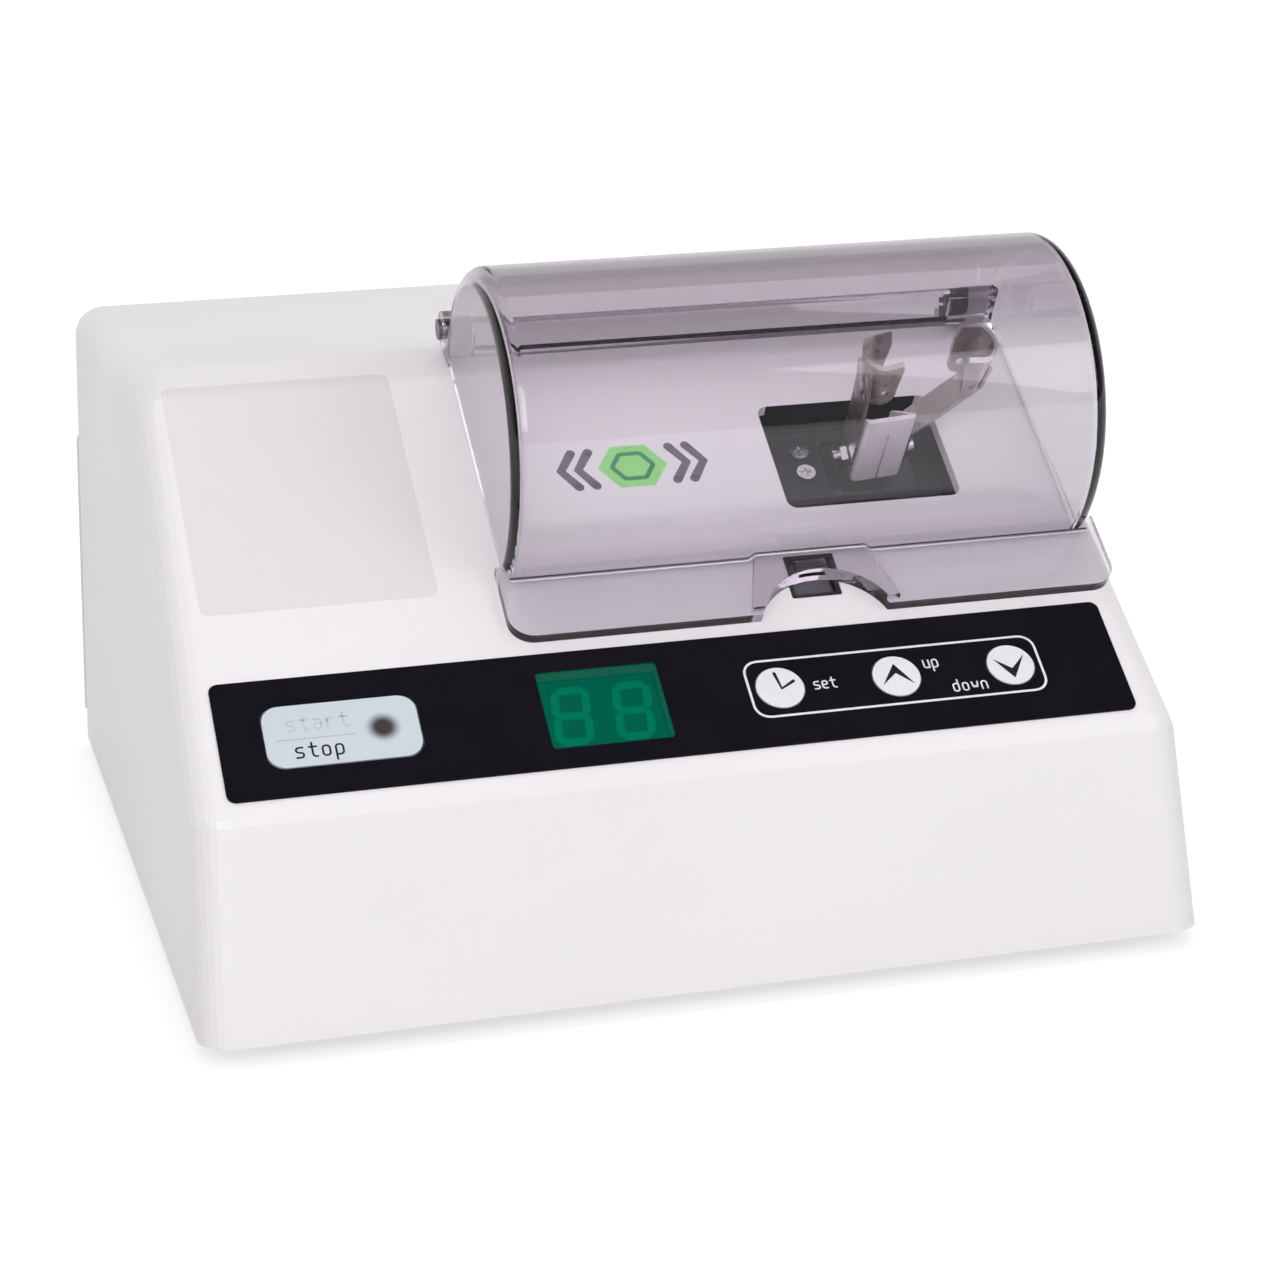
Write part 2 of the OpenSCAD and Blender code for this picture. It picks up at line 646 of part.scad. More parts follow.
// Clear cover
module drum(r, w, e) {
    rotate([0, 90, 0]) translate([0, 0, -w / 2]) rotate_extrude() {
        square([r - e, w]);
        translate([0, e]) square([r, w - 2 * e]);
        for (z = [e, w - e]) translate([r - e, z]) circle(e);
    }
}
module on_hinge(x0, x1, r) {
    on_slope(x0, hinge_s, hinge_h) rotate([0, 90, 0]) cylinder(r = r, h = x1 - x0);
}
module cover_flange() {
    w = dome_w + 2 * flange_out;
    translate([0, 0, cover_gap]) linear_extrude(cover_t) difference() {
        translate([dome_x, flange_s + 15]) rounded(w, 30, flange_r);
        translate([dome_x - w, dome_s - 33]) square([2 * w, 40]);
    }
    lip_top = notch_w / 2 - 3;
    lip_low = notch_w / 2 + 2.5;
    translate([slot_x, 0, cover_gap]) linear_extrude(cover_t + lip_h)
        polygon([[-lip_low, flange_s + 1], [lip_low, flange_s + 1], [lip_top, dome_s - dome_in_r + 2.6],
            [-lip_top, dome_s - dome_in_r + 2.6]]);
}
module cover_ear(x0) {
    on_hinge(x0, x0 + cover_t, ear_r);
    web = dome_r - norm([hinge_s - dome_s, hinge_h - dome_h]) - 6;
    on_slope(x0, hinge_s, hinge_h) rotate([atan2(dome_h - hinge_h, dome_s - hinge_s), 0, 0])
        translate([0, 0, -ear_r]) cube([cover_t, -web, 2 * ear_r]);
}
module cover() color("#b9aebd", 0.45) difference() {
    union() {
        on_slope() difference() {
            union() {
                translate([dome_x, dome_s, dome_h]) drum(dome_r, dome_w, dome_edge_r);
                cover_flange();
            }
            translate([dome_x, dome_s, dome_h]) drum(dome_in_r, dome_w - 2 * cover_t, dome_edge_r - cover_t);
            translate([-far / 2, -far / 4, cover_gap - far]) cube([far, far, far]);
        }
        cover_band();
        cover_ear(dome_x0);
        cover_ear(dome_x1 - cover_t);
        on_slope(slot_x, slot_s + 2.6) translate([-tongue_w / 2, -tongue_t / 2, -plunger_sink + 0.3])
            cube([tongue_w, tongue_t, plunger_sink + cover_gap + cover_t]);
    }
    on_slope(slot_x, flange_s + notch_l - notch_r) cylinder(r = notch_r, h = far / 10);
    on_hinge(dome_x0 - 1, dome_x1 + 1, pin_d / 2 + pin_gap);
    on_hinge(dome_x0 + cover_t, lug_x0 + lug_t + lug_gap, lug_r + 0.8);
    on_hinge(lug_x1 - clip_w - 2 * lug_gap, dome_x1 - cover_t, lug_r + 0.8);
}
module cover_band() {
    on_slope(0, dome_s, dome_h) intersection() {
        translate([dome_x, 0, 0]) rotate([0, 90, 0]) difference() {
            cylinder(r = dome_in_r + bite, h = dome_w - 2 * cover_t, center = true);
            cylinder(r = dome_in_r - band_t, h = dome_w, center = true);
        }
        translate([dome_x - dome_w / 2, 0, cover_gap - dome_h]) cube([dome_w, far, band_l]);
    }
}

// Hinge lugs on the top face, their screws, the pins and the friction clip
module lug_profile() {
    difference() {
        union() {
            translate([hinge_back, hinge_up]) circle(lug_r);
            polygon([[hinge_back, 0.9], [hinge_back + 7, 0.1], [hinge_back + 7, lug_foot_t],
                [hinge_back + lug_r * 0.7, hinge_up + lug_r * 0.6]]);
            translate([hinge_back + 6, 0.02]) square([lug_foot - 6, lug_foot_t]);
        }
        translate([hinge_back, hinge_up]) circle(pin_d / 2);
    }
}
module lug(x) {
    difference() {
        on_top(x) rotate([90, 0, 90]) linear_extrude(lug_t) lug_profile();
        on_top(x + lug_t / 2, lug_screw_y) rod(screw_d, -1, far / 10);
    }
}
module hinge_lugs() color("white") {
    lug(lug_x0);
    lug(lug_x1);
}
module hinge_pin(x0, x1, head_x) {
    on_hinge(x0, x1, pin_d / 2);
    on_hinge(head_x, head_x + 0.8, pin_d / 2 + 0.9);
}
module hinge_pins() color("#55505a") {
    hinge_pin(dome_x0 - 1, lug_x0 + lug_t + 0.2, dome_x0 - 1);
    hinge_pin(lug_x1 - clip_w - lug_gap, dome_x1 + 1, dome_x1 + 0.2);
}
module friction_clip() color("#2c2833") on_top(lug_x1 - clip_w - 0.02) rotate([90, 0, 90])
    linear_extrude(clip_w) difference() {
        union() {
            translate([hinge_back, hinge_up]) circle(lug_r - 0.4);
            translate([hinge_back, 0.4]) square([6, lug_r + 2]);
        }
        translate([hinge_back, hinge_up]) circle(pin_d / 2);
        translate([hinge_back + 1, hinge_up - 0.4]) square([far / 10, 0.8]);
    }

// Dark splash guard under the opening
module splash_guard() color("#3b3840") on_slope(well_x, well_s) difference() {
    union() {
        slab(guard_w, guard_l, well_r + guard_t, -guard_depth - guard_t, -wall - fit);
        for (p = guard_ears) translate([p[0], p[1], 0]) {
            rod(post_d + 1, -guard_ear_h - guard_t, -guard_ear_h);
            translate([-sign(p[0]) * 4 - 2.5, -3.5, -guard_ear_h - guard_t]) cube([5, 7, guard_t]);
        }
    }
    slab(guard_w - 2 * guard_t, guard_l - 2 * guard_t, well_r, -guard_depth, 1);
    translate([arm_x - well_x, arm_s - well_s, 0]) slab(guard_slot_w, guard_slot_l, 2, -far, 0);
    for (p = guard_ears) translate([p[0], p[1], 0]) rod(2.6, -far, 0);
    for (s = floor_screw_s) translate([floor_screw_x, s, 0]) rod(2.6, -far, 0);
}
guard_w = well_w + 2 * (guard_t + 0.4);
guard_l = well_l + 2 * (guard_t + 0.4);
floor_screw_x = arm_x - well_x - guard_slot_w / 2 - 5;
floor_screw_s = [2.6, 9];

// Motor
module motor_can() color("gray") difference() {
    on_shaft(motor_x0) rod(motor_d, 0, motor_l - end_bell_t);
    on_shaft(motor_x0) rod(motor_d - 2 * motor_t, end_bell_t, motor_l);
    on_shaft(motor_x0) rod(motor_bearing_d, -1, end_bell_t + 1);
    for (a = [0 : 45 : 315]) on_shaft(motor_x0) rotate(a) translate([motor_d / 3, 0, 0])
        rod(6, -1, end_bell_t + 1);
}
module motor_end_bell() color("darkgray") difference() {
    union() {
        on_shaft(motor_x1) rod(motor_d, -end_bell_t, 0);
        on_shaft(motor_x1) rod(motor_d - 2 * motor_t - 2 * fit, -end_bell_t - 3, -end_bell_t);
        on_shaft(motor_x1) rod(motor_bearing_d + 5, 0, 3);
    }
    on_shaft(motor_x1) rod(motor_bearing_d, -far / 8, 3.01 - 1);
    on_shaft(motor_x1) rod(shaft_d + 3, 0, far / 8);
    for (a = [45 : 90 : 315]) on_shaft(motor_x1) rotate(a) translate([motor_d / 2 - 8, 0, 0])
        rod(pilot_d, -far / 8, 1);
}
module motor_bearings() color(steel) {
    on_shaft(motor_x0) ring(shaft_d + 2 * eye_gap, motor_bearing_d, 0, 7);
    on_shaft(motor_x1) ring(shaft_d + 2 * eye_gap, motor_bearing_d, -5, 2);
}
module motor_shaft() color(steel) on_shaft(0) rod(shaft_d, motor_x0 - 14, arm_x + 3);
module rotor_core() color("#70665c") on_shaft(motor_mid) {
    difference() {
        rod(rotor_d, -15, 13);
        rod(shaft_d, -far, far);
        for (a = [0 : 36 : 324]) rotate(a) translate([rotor_d / 2, 0, 0]) rod(3, -far, far);
    }
}
module stator() color("#6a5f55") on_shaft(motor_mid) difference() {
    union() {
        rod(motor_d - 2 * motor_t - 2 * fit, -13, 11);
        rod(motor_d - 2 * motor_t - 8, -20, 18);
    }
    rod(rotor_d + 2 * air_gap, -far, far);
    for (a = [0 : 30 : 330]) rotate(a) translate([rotor_d / 2 + 4, 0, 0]) rod(5, -far, far);
}
module motor_fan() color("#2a2a2e") on_shaft(motor_x0 - 12) {
    difference() {
        union() {
            rod(15, 0, 9);
            rod(motor_d - 10, 7.8, 9);
            for (i = [0 : fan_blades - 1]) rotate(i * 360 / fan_blades)
                translate([5, -0.6, 0]) cube([motor_d / 2 - 11, 1.2, 8]);
        }
        rod(shaft_d, -far, far);
    }
}
module motor_bracket() color("lightgray") difference() {
    union() {
        in_row() translate([motor_x0 - 2, shaft_at[0] - bracket_w, bracket_z])
            cube([motor_l + 2 + motor_t, 2 * bracket_w, motor_t]);
        in_row() translate([motor_x1, shaft_at[0], 0]) rotate([90, 0, 90]) linear_extrude(motor_t) {
            translate([-bracket_w, bracket_z]) square([2 * bracket_w, 12]);
            polygon([[-bracket_w, bracket_z + 12], [bracket_w, bracket_z + 12], [22, shaft_at[1] + 14],
                [-22, shaft_at[1] + 14]]);
            translate([0, shaft_at[1]]) circle(motor_d / 2 - 3);
        }
        in_row() translate([motor_x1 + motor_t, shaft_at[0] - bracket_w, bracket_z])
            cube([arm_x - motor_x1 + 14, 2 * bracket_w, motor_t]);
    }
    on_shaft(motor_x1) rod(motor_bearing_d + 5 + 2 * fit, -1, motor_t + 1);
    for (a = [45 : 90 : 315]) on_shaft(motor_x1) rotate(a) translate([motor_d / 2 - 8, 0, 0])
        rod(screw_d + 0.4, -1, motor_t + 1);
    for (p = mount_places) in_row() translate(p) rod(6, 0, far);
    for (p = guide_screws) in_row() translate(p) rod(pilot_d, 0, far);
}
module rubber_mounts() color("#26242a") for (p = mount_places) in_row() translate(p) difference() {
    union() {
        rod(13, floor_top, bracket_z);
        rod(6 - 2 * fit, bracket_z - bite, bracket_z + motor_t);
    }
    rod(screw_d + 0.2, 0, far);
    translate([0, 0, floor_top + mount_h / 2]) rotate_extrude() translate([7.6, 0]) circle(2.4);
}
module mount_screws() color(steel) {
    for (p = mount_places) in_row() translate(p) {
        rod(screw_d, floor_z - 1.4, bracket_z + motor_t + 2);
        rod(6, floor_z - 1.4, floor_z);
        rod(7, bracket_z + motor_t, bracket_z + motor_t + 2.4);
    }
    for (a = [45 : 90 : 315]) on_shaft(motor_x1 + motor_t) rotate(a) translate([motor_d / 2 - 8, 0, 0])
        pan_screw(pilot_d - 0.02, motor_t + 4, 5.4, 1.8);
    for (p = guide_screws) in_row() translate(p + [0, 0, bracket_z + motor_t + guide_foot_t])
        pan_screw(pilot_d - 0.02, guide_foot_t + motor_t - 0.2, 5.4, 1.8);
}

// Oblique hub, its bearing and balance weight
module oblique_hub() color("slategray") difference() {
    union() {
        on_journal(0) rod(journal_d, -hub_l / 2, hub_l / 2 - 2);
        on_journal(0) rod(journal_d + 4, -bearing_w / 2 - 2, -bearing_w / 2);
        on_shaft(arm_x) rod(journal_d + 1, -hub_l / 2 - 5, -hub_l / 2);
    }
    on_shaft(arm_x) rod(shaft_d + 0.02, -far, far);
}
module balance_weight() color("#6f7378") on_shaft(arm_x - hub_l / 2) difference() {
    rod(36, -5, -1);
    rod(journal_d + 1.02, -far, far);
    translate([0, -far / 2, -far / 2]) cube([far, far, far]);
}
module hub_screw() color(steel) on_journal(hub_l / 2 - 2) difference() {
    union() {
        rod(4, -1.3, 0.1);
        rod(journal_d + 2.6, 0.02, 1.2);
        rod(7, 1.2, 4);
    }
    translate([0, 0, 2.6]) cylinder(d = 4, h = 5, $fn = 6);
}
module bearing_inner_ring() color(steel) on_journal(0)
    ring(journal_d + 0.02, race_d - 2 * eye_gap, -bearing_w / 2, bearing_w / 2);
module bearing_outer_ring() color(steel) on_journal(0) ring(race_d, bearing_d, -bearing_w / 2, bearing_w / 2);

// Shaker arm with its clip and prongs
module arm_outline() {
    circle(d = eye_d);
    half = neck_l / 2;
    polygon([[-eye_d / 2 + 4, 8], [eye_d / 2 - 4, 8], [half + 1.5, clip_z - 8], [half, clip_z - 2],
        [half, neck_top], [-half, neck_top], [-half, clip_z - 2], [-half - 1.5, clip_z - 8]]);
    translate([-3.5, heel_z]) square([7, 8]);
}
module shaker_arm() color("#8d9096") on_arm() difference() {
    union() {
        rotate([90, 0, 90]) translate([0, 0, -neck_t / 2]) linear_extrude(neck_t) arm_outline();
        neck = clip_block_w - 2 * clip_t - 2 * fit;
        translate([-neck / 2, -neck_l / 2, clip_z - 1]) cube([neck, neck_l, neck_top - clip_z + 1]);
    }
    rotate([0, 90, 0]) cylinder(d = bearing_d + 0.02, h = far, center = true);
    for (side = [-1, 1]) translate([side * neck_t / 2, 0, 29]) rotate([0, 90, 0])
        cylinder(d = 8, h = 3, center = true);
    rod(tail_d + 0.02, tail_z, -bearing_d / 2 - 1);
    translate([0, 0, prong_screw_z]) rotate([0, 90, 0]) cylinder(d = screw_d + 0.2, h = far, center = true);
}
module fork_clip() color("#b4b2ba") on_arm() difference() {
    translate([0, clip_y, 0]) slab(clip_block_w, clip_d, 1, clip_z, clip_z + clip_l);
    translate([0, clip_y + clip_t, 0]) slab(clip_block_w - 2 * clip_t, clip_d, 0.4, clip_z - 1, far);
    rotate([90, 0, 90]) linear_extrude(far, center = true) polygon([[-clip_d / 2 + clip_t, clip_z + clip_l],
        [clip_d / 2 + 1, clip_z + clip_l - 9], [clip_d / 2 + 1, far], [-clip_d / 2 + clip_t, far]]);
    translate([-0.3, clip_y - clip_d, clip_z - 1]) cube([0.6, clip_d, clip_l - 4]);
    translate([0, 0, prong_screw_z]) rotate([0, 90, 0]) cylinder(d = screw_d + 0.2, h = far, center = true);
}
clip_d = neck_l + 2.6;
clip_y = 0;
// One prong on the right: strip, knee and a cupped claw that leans outwards
module prong(spread, lean, rise) {
    knee_low = clip_z + clip_l - 8.5;
    x1 = prong_x + spread;
    foot = claw_z + rise;
    lap = 6;
    strip = [[prong_x, prong_foot_z], [prong_x + prong_t, prong_foot_z], [prong_x + prong_t, knee_low],
        [x1 + prong_t, foot + 2], [x1 + prong_t + lap * tan(lean), foot + 2 + lap],
        [x1 + lap * tan(lean), foot + 2 + lap], [x1, foot + 2.4], [prong_x, knee_low + 0.4]];
    translate([0, prong_w / 2, 0]) rotate([90, 0, 0]) linear_extrude(prong_w) polygon(strip);
    translate([x1, 0, foot]) rotate([0, lean, 0]) claw();
}
// Cup of a claw, open towards the capsule, with a small hole in each wing and a rivet
module claw() {
    difference() {
        intersection() {
            linear_extrude(claw_l + 1) difference() {
                cup_bow(claw_w / 2, prong_t);
                cup_bow(claw_w / 2 - prong_t, 0);
            }
            translate([-wing_w - 1, 0, 0]) rotate([90, 0, 90]) linear_extrude(wing_w + prong_t + 2)
                claw_outline();
            rotate([90, 0, 0]) linear_extrude(claw_w + 2, center = true) wing_outline();
        }
        for (side = [-1, 1]) translate([-3.2, side * claw_w / 2, 3.5]) rotate([90, 0, 0])
            cylinder(d = 1.8, h = 4, center = true);
    }
    translate([-0.8, 0, 3.4]) rotate([0, 90, 0]) cylinder(d = 3, h = 0.8 + prong_t);
}
// Bow of a cup seen along the claw: round back and straight wings
module cup_bow(r, front) {
    translate([front - r, 0]) circle(r);
    translate([front - r - wing_w, -r]) square([wing_w, 2 * r]);
}
// Outline of a wing: round foot, wider towards the top
module wing_outline() {
    translate([-2.6, 3.3]) circle(3.3);
    translate([-2.6, 0]) square([prong_t + 3.6, 4]);
    polygon([[prong_t + 1, 3], [-5.8, 3], [-wing_w, claw_l * 0.7], [-wing_w + 0.5, claw_l + 1],
        [prong_t + 1, claw_l + 1]]);
}
// Outline of a cup seen from the side, with a top that rises to the rear
module claw_outline() {
    half = claw_w / 2;
    polygon([[-half, -1], [half, -1], [half, claw_l - 1], [half - 1, claw_l], [-half + 1, claw_l - 2.4],
        [-half, claw_l - 3.2]]);
}
module prong_hole() {
    translate([0, 0, prong_screw_z]) rotate([0, 90, 0]) cylinder(d = screw_d + 1.2, h = far, center = true);
}
module left_prong() color("#8a8288") on_arm() difference() {
    mirror([1, 0, 0]) prong(left_spread, left_lean, left_rise);
    prong_hole();
}
module right_prong() color("#b9b4b4") on_arm() difference() {
    prong(right_spread, right_lean, 0);
    prong_hole();
}
module prong_screw() color(steel) on_arm() translate([0, 0, prong_screw_z]) rotate([0, 90, 0]) {
    reach = prong_x + prong_t + 0.3;
    rod(screw_d, -reach - 3, reach);
    rod(5.6, reach, reach + 2);
    translate([0, 0, -reach - 1.6]) cylinder(d = 6.2, h = 1.6, $fn = 6);
}

// Tail pin below the arm's eye, and the fixed guide whose slot keeps the arm from turning
tail_z = -eye_d / 2 - 13.5;
guide_foot_t = 3;
guide_w = 26;
guide_s = 8;
guide_foot_y = [shaft_at[0] + 3, shaft_at[0] + 25];
guide_screws = [for (x = [-9, 9], y = guide_foot_y) [arm_x + x, y + (y > shaft_at[0] + 9 ? -3 : 3), 0]];
module tail_pin() color(steel) on_arm() rod(tail_d, tail_z, -bearing_d / 2 - 1);
module tail_guide() color("#dcd8cc") difference() {
    base = bracket_z + motor_t;
    front = slope_point(arm_s - guide_s, -arm_depth + tail_z + guide_t);
    back = slope_point(arm_s - guide_s / 2, -arm_depth + tail_z + guide_t / 2);
    union() {
        on_slope(arm_x, arm_s, -arm_depth) slab(guide_w, 2 * guide_s, 1, tail_z, tail_z + guide_t);
        in_row() translate([arm_x - guide_w / 2, 0, 0]) rotate([90, 0, 90]) linear_extrude(guide_w)
            polygon([front, back, [back[0] + 2, base], [front[0] - 2, base]]);
        in_row() translate([arm_x - guide_w / 2, guide_foot_y[0], base])
            cube([guide_w, guide_foot_y[1] - guide_foot_y[0], guide_foot_t]);
    }
    on_slope(arm_x, arm_s, -arm_depth)
        slab(tail_d + 7.4, tail_d + 0.8, (tail_d + 0.8) / 2, tail_z - 30, tail_z + guide_t + 1);
    for (p = guide_screws) in_row() translate(p) {
        rod(screw_d + 0.2, 0, far);
        rod(6, base + guide_foot_t, far);
    }
}

// Mains inlet with its fuse drawer
module inlet_outline() {
    polygon([[-12, -8], [12, -8], [12, 4.5], [8.5, 8], [-8.5, 8], [-12, 4.5]]);
}
socket_z = inlet_l / 2 - 11;
drawer_z = -inlet_l / 2 + 5;
module mains_inlet() color("#222226") on_back(inlet_x, inlet_z) difference() {
    union() {
        slab(inlet_w + 4, inlet_l + 4, 2, 0.02, bezel_t);
        slab(inlet_w, inlet_l, 0.8, -inlet_deep, 0.02);
    }
    translate([0, socket_z, -17]) linear_extrude(far) inlet_outline();
    translate([0, drawer_z, -19]) linear_extrude(far) square([21, 7], center = true);
    pins(0.01);
}
module pins(gap) {
    for (p = [[0, 1.8], [-7, -1.8], [7, -1.8]]) translate([p[0], socket_z + p[1], -inlet_deep - 6])
        linear_extrude(inlet_deep + 1) square([2 + 2 * gap, 4 + 2 * gap], center = true);
}
module inlet_pins() color("goldenrod") on_back(inlet_x, inlet_z) pins(0);
module fuse_drawer() color("#2e2e33") on_back(inlet_x, inlet_z) translate([0, drawer_z, 0]) {
    difference() {
        translate([-10.2, -3.2, -18.6]) cube([20.4, 6.4, 18.6 + bezel_t]);
        translate([0, 0, -10]) cube([18, 10, 13], center = true);
        translate([0, 3.2, bezel_t]) cube([12, 2.4, 2], center = true);
    }
}
module fuse() color("lightsteelblue") on_back(inlet_x, inlet_z) translate([0, drawer_z, -13.6])
    rotate([0, 90, 0]) cylinder(d = 5, h = 17.6, center = true);

// Mains switch
module switch_frame() color("#1e1e22") on_back(switch_x, inlet_z) difference() {
    union() {
        slab(switch_w + 3, switch_l + 3, 1.2, 0.02, bezel_t - 0.6);
        slab(switch_w, switch_l, 0.8, -12, 0.02);
    }
    slab(switch_w - 2.4, switch_l - 2.4, 0.6, -9, far);
    for (z = [-1, 1]) translate([0, z * 5, 0]) slab(5, 1, 0.3, -far, -8);
}
module rocker_side() {
    r = rocker_r;
    difference() {
        circle(r);
        rotate(rocker_swing / 2) translate([-far / 2, rocker_face]) square([far, far]);
        rotate(-rocker_swing / 2) translate([-far / 2, rocker_face]) square([far, far]);
        translate([-far / 2, -far - 3.5]) square([far, far]);
    }
}
rocker_r = switch_l / 2 - 1.6;
rocker_face = 4.2;
rocker_in = -3.2;
module power_rocker() color("#8e1b1b") on_back(switch_x, inlet_z) translate([0, 0, rocker_in])
    rotate([0, 90, 0]) rotate(rocker_swing / 2 + 90) translate([0, 0, -(switch_w - 3.2) / 2])
    linear_extrude(switch_w - 3.2) rocker_side();

// Transformer and power board
core_ear = core_w * 0.22;
coil_out = core_d * 0.27;
core_x = wall - half_width(0) + 2.5 + core_ear + core_w / 2;
core_y = shaft_at[0] + bracket_w + 1 + coil_out + core_d / 2;
core_screws = [for (side = [-1, 1]) [core_x + side * (core_w + core_ear) / 2, core_y, 0]];
module transformer_core() color("#5c5c62") in_row() translate([core_x, core_y, floor_top]) difference() {
    union() {
        translate([-core_w / 2, -core_d / 2, 0]) cube([core_w, core_d, core_h]);
        translate([-core_w / 2 - core_ear, -core_d / 2 + 4, 0])
            cube([core_w + 2 * core_ear, core_d - 8, 1.6]);
    }
    for (side = [-1, 1]) translate([side * (core_w / 2 - core_w * 0.24), 0, core_h / 2])
        cube([core_w * 0.17, far, core_h * 0.66], center = true);
    for (side = [-1, 1]) translate([side * (core_w + core_ear) / 2, 0, 0]) rod(screw_d + 0.4, -1, 5);
}
module transformer_coil() color("#b8860b") in_row() translate([core_x, core_y, floor_top + core_h / 2])
    difference() {
        translate([-coil_w / 2, -core_d / 2 - coil_out, -coil_h / 2])
            cube([coil_w, core_d + 2 * coil_out, coil_h]);
        translate([-coil_in / 2, -core_d / 2 - fit, -far / 2]) cube([coil_in, core_d + 2 * fit, far]);
    }
coil_w = core_w * 0.68;
coil_h = core_h * 0.62;
coil_in = core_w * 0.36;
power_x = 20;
power_y = casing_d - 18 - power_d / 2;
power_posts = [for (x = [-1, 1], y = [-1, 1])
    [power_x + x * (power_w / 2 - 4), power_y + y * (power_d / 2 - 4), 0]];
module power_board() color("#1d5c2f") in_row() difference() {
    translate([power_x, power_y, 0])
        slab(power_w, power_d, 1.5, floor_top + post_h, floor_top + post_h + board_t);
    for (p = power_posts) translate(p) rod(screw_d + 0.2, 0, far);
}
module board_posts() color(steel) {
    for (p = power_posts) in_row() translate(p) {
        translate([0, 0, floor_top]) cylinder(d = 6, h = post_h, $fn = 6);
        rod(screw_d, floor_top, floor_top + post_h + board_t);
        rod(5.4, floor_top + post_h + board_t, floor_top + post_h + board_t + 1.8);
    }
    for (p = core_screws) in_row() translate(p) {
        rod(screw_d, floor_z - 1.4, floor_top + 5);
        rod(5.8, floor_z - 1.4, floor_z);
        rod(6.2, floor_top + 1.6, floor_top + 4);
    }
}
module power_parts() {
    top = floor_top + post_h + board_t;
    u = power_w / 92;
    v = power_d / 58;
    color("black") in_row() translate([power_x, power_y, top]) {
        translate([-28 * u, 12 * v, 0]) rod(16 * v, 0, 26 * v);
        translate([-10 * u, 14 * v, 0]) rod(10 * v, 0, 17 * v);
        translate([20 * u, -12 * v, 0]) cube([20 * u, 14 * v, 15 * v]);
        translate([-36 * u, -20 * v, 0]) cube([26 * u, 10 * v, 11 * v]);
    }
    color("gray") in_row() translate([power_x - 4 * u, power_y - 18 * v, top]) {
        cube([18 * u, 2 * v, 22 * v]);
        for (i = [0 : 4]) translate([4 * i * u, 2 * v, 0]) cube([2 * u, 8 * v, 22 * v]);
    }
}

casing();
chassis();
feet();
foot_screws();
casing_screws();
control_film();
display_window();
start_stop_key();
set_key();
up_key();
down_key();
control_board();
inner_screws();
key_switches();
display_module();
display_segments();
status_light();
controller_chip();
catch_lining();
catch_plunger();
cover_switch();
cover();
hinge_lugs();
hinge_pins();
friction_clip();
splash_guard();
motor_can();
motor_end_bell();
motor_bearings();
motor_fan();
motor_shaft();
rotor_core();
stator();
motor_bracket();
rubber_mounts();
mount_screws();
oblique_hub();
balance_weight();
hub_screw();
bearing_inner_ring();
bearing_outer_ring();
shaker_arm();
fork_clip();
left_prong();
right_prong();
prong_screw();
tail_pin();
tail_guide();
mains_inlet();
inlet_pins();
fuse_drawer();
fuse();
switch_frame();
power_rocker();
transformer_core();
transformer_coil();
power_board();
board_posts();
power_parts();
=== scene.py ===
import math

import bmesh
import bpy
from mathutils import Matrix, Vector
from mathutils.bvhtree import BVHTree


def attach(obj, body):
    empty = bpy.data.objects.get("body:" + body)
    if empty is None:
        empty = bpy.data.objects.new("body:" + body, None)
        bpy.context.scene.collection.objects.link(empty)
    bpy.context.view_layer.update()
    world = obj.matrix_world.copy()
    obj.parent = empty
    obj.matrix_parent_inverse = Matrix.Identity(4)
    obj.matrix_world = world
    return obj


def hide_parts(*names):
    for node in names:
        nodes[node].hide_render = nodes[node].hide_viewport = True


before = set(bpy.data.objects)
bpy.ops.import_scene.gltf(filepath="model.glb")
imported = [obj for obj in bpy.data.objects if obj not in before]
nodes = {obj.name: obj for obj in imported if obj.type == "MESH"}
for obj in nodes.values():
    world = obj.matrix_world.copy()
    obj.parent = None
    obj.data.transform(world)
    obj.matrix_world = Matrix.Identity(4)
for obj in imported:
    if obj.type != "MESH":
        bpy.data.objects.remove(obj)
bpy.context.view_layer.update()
scene = bpy.context.scene
scene.view_settings.view_transform = "Standard"

# The bench, the light and the viewpoint
#
# A pale bench top in a studio: one large soft lamp in front on the left, weaker ones on the right
# and above, a bright wall behind and a darker ceiling. The eye stands a little left of the middle.
EYE = (-0.1652, -0.70795, 0.2191)
EYE_TURN, EYE_DIP, EYE_ROLL = -14.6613, 13.2097, -1.9842
EYE_LENS = 2986.034 / 1280 * 36
LAMPS = {  # place, what it points at, width and height in metres, watts, colour
    "lamp_left": ((-0.8, -2.0, 1.0), (0, 0, 0.05), (1.6, 1.2), 25, (1.0, 0.99, 0.995)),
    "lamp_right": ((1.2, -1.6, 0.9), (0, 0, 0.08), (1.0, 1.2), 8, (0.99, 0.99, 1.0)),
    "lamp_top": ((0.1, 0.5, 2.1), (0, 0, 0.1), (1.6, 1.0), 11, (1.0, 1.0, 1.0)),
}
ROOM_COLOUR, ROOM_LIGHT = (0.955, 0.935, 0.95), 0.53
WALL_COLOUR, WALL_LIGHT = (0.985, 0.975, 0.985), (0.07, 1.0)  # what gloss shows away from the wall and on it
WALL_TOP, WALL_SIDE = (0.62, 0.25), (-0.3, 0.3)  # how high and how far round the bright wall fades
BENCH, BENCH_PATCH = 30, 3.0
BENCH_TONES = (0.50, 0.50, 0.51, 1), (0.53, 0.525, 0.54, 1)
BENCH_REACH, BENCH_GLOW = (0.4, 1.6), (0.62, 0.80)


def node(tree, kind, *sockets, **settings):
    """Adds a node. sockets are (input, value or output) pairs."""
    made = tree.nodes.new(kind)
    for key, value in settings.items():
        setattr(made, key, value)
    for name, value in sockets:
        if isinstance(value, bpy.types.NodeSocket):
            tree.links.new(value, made.inputs[name])
        else:
            made.inputs[name].default_value = value
    return made


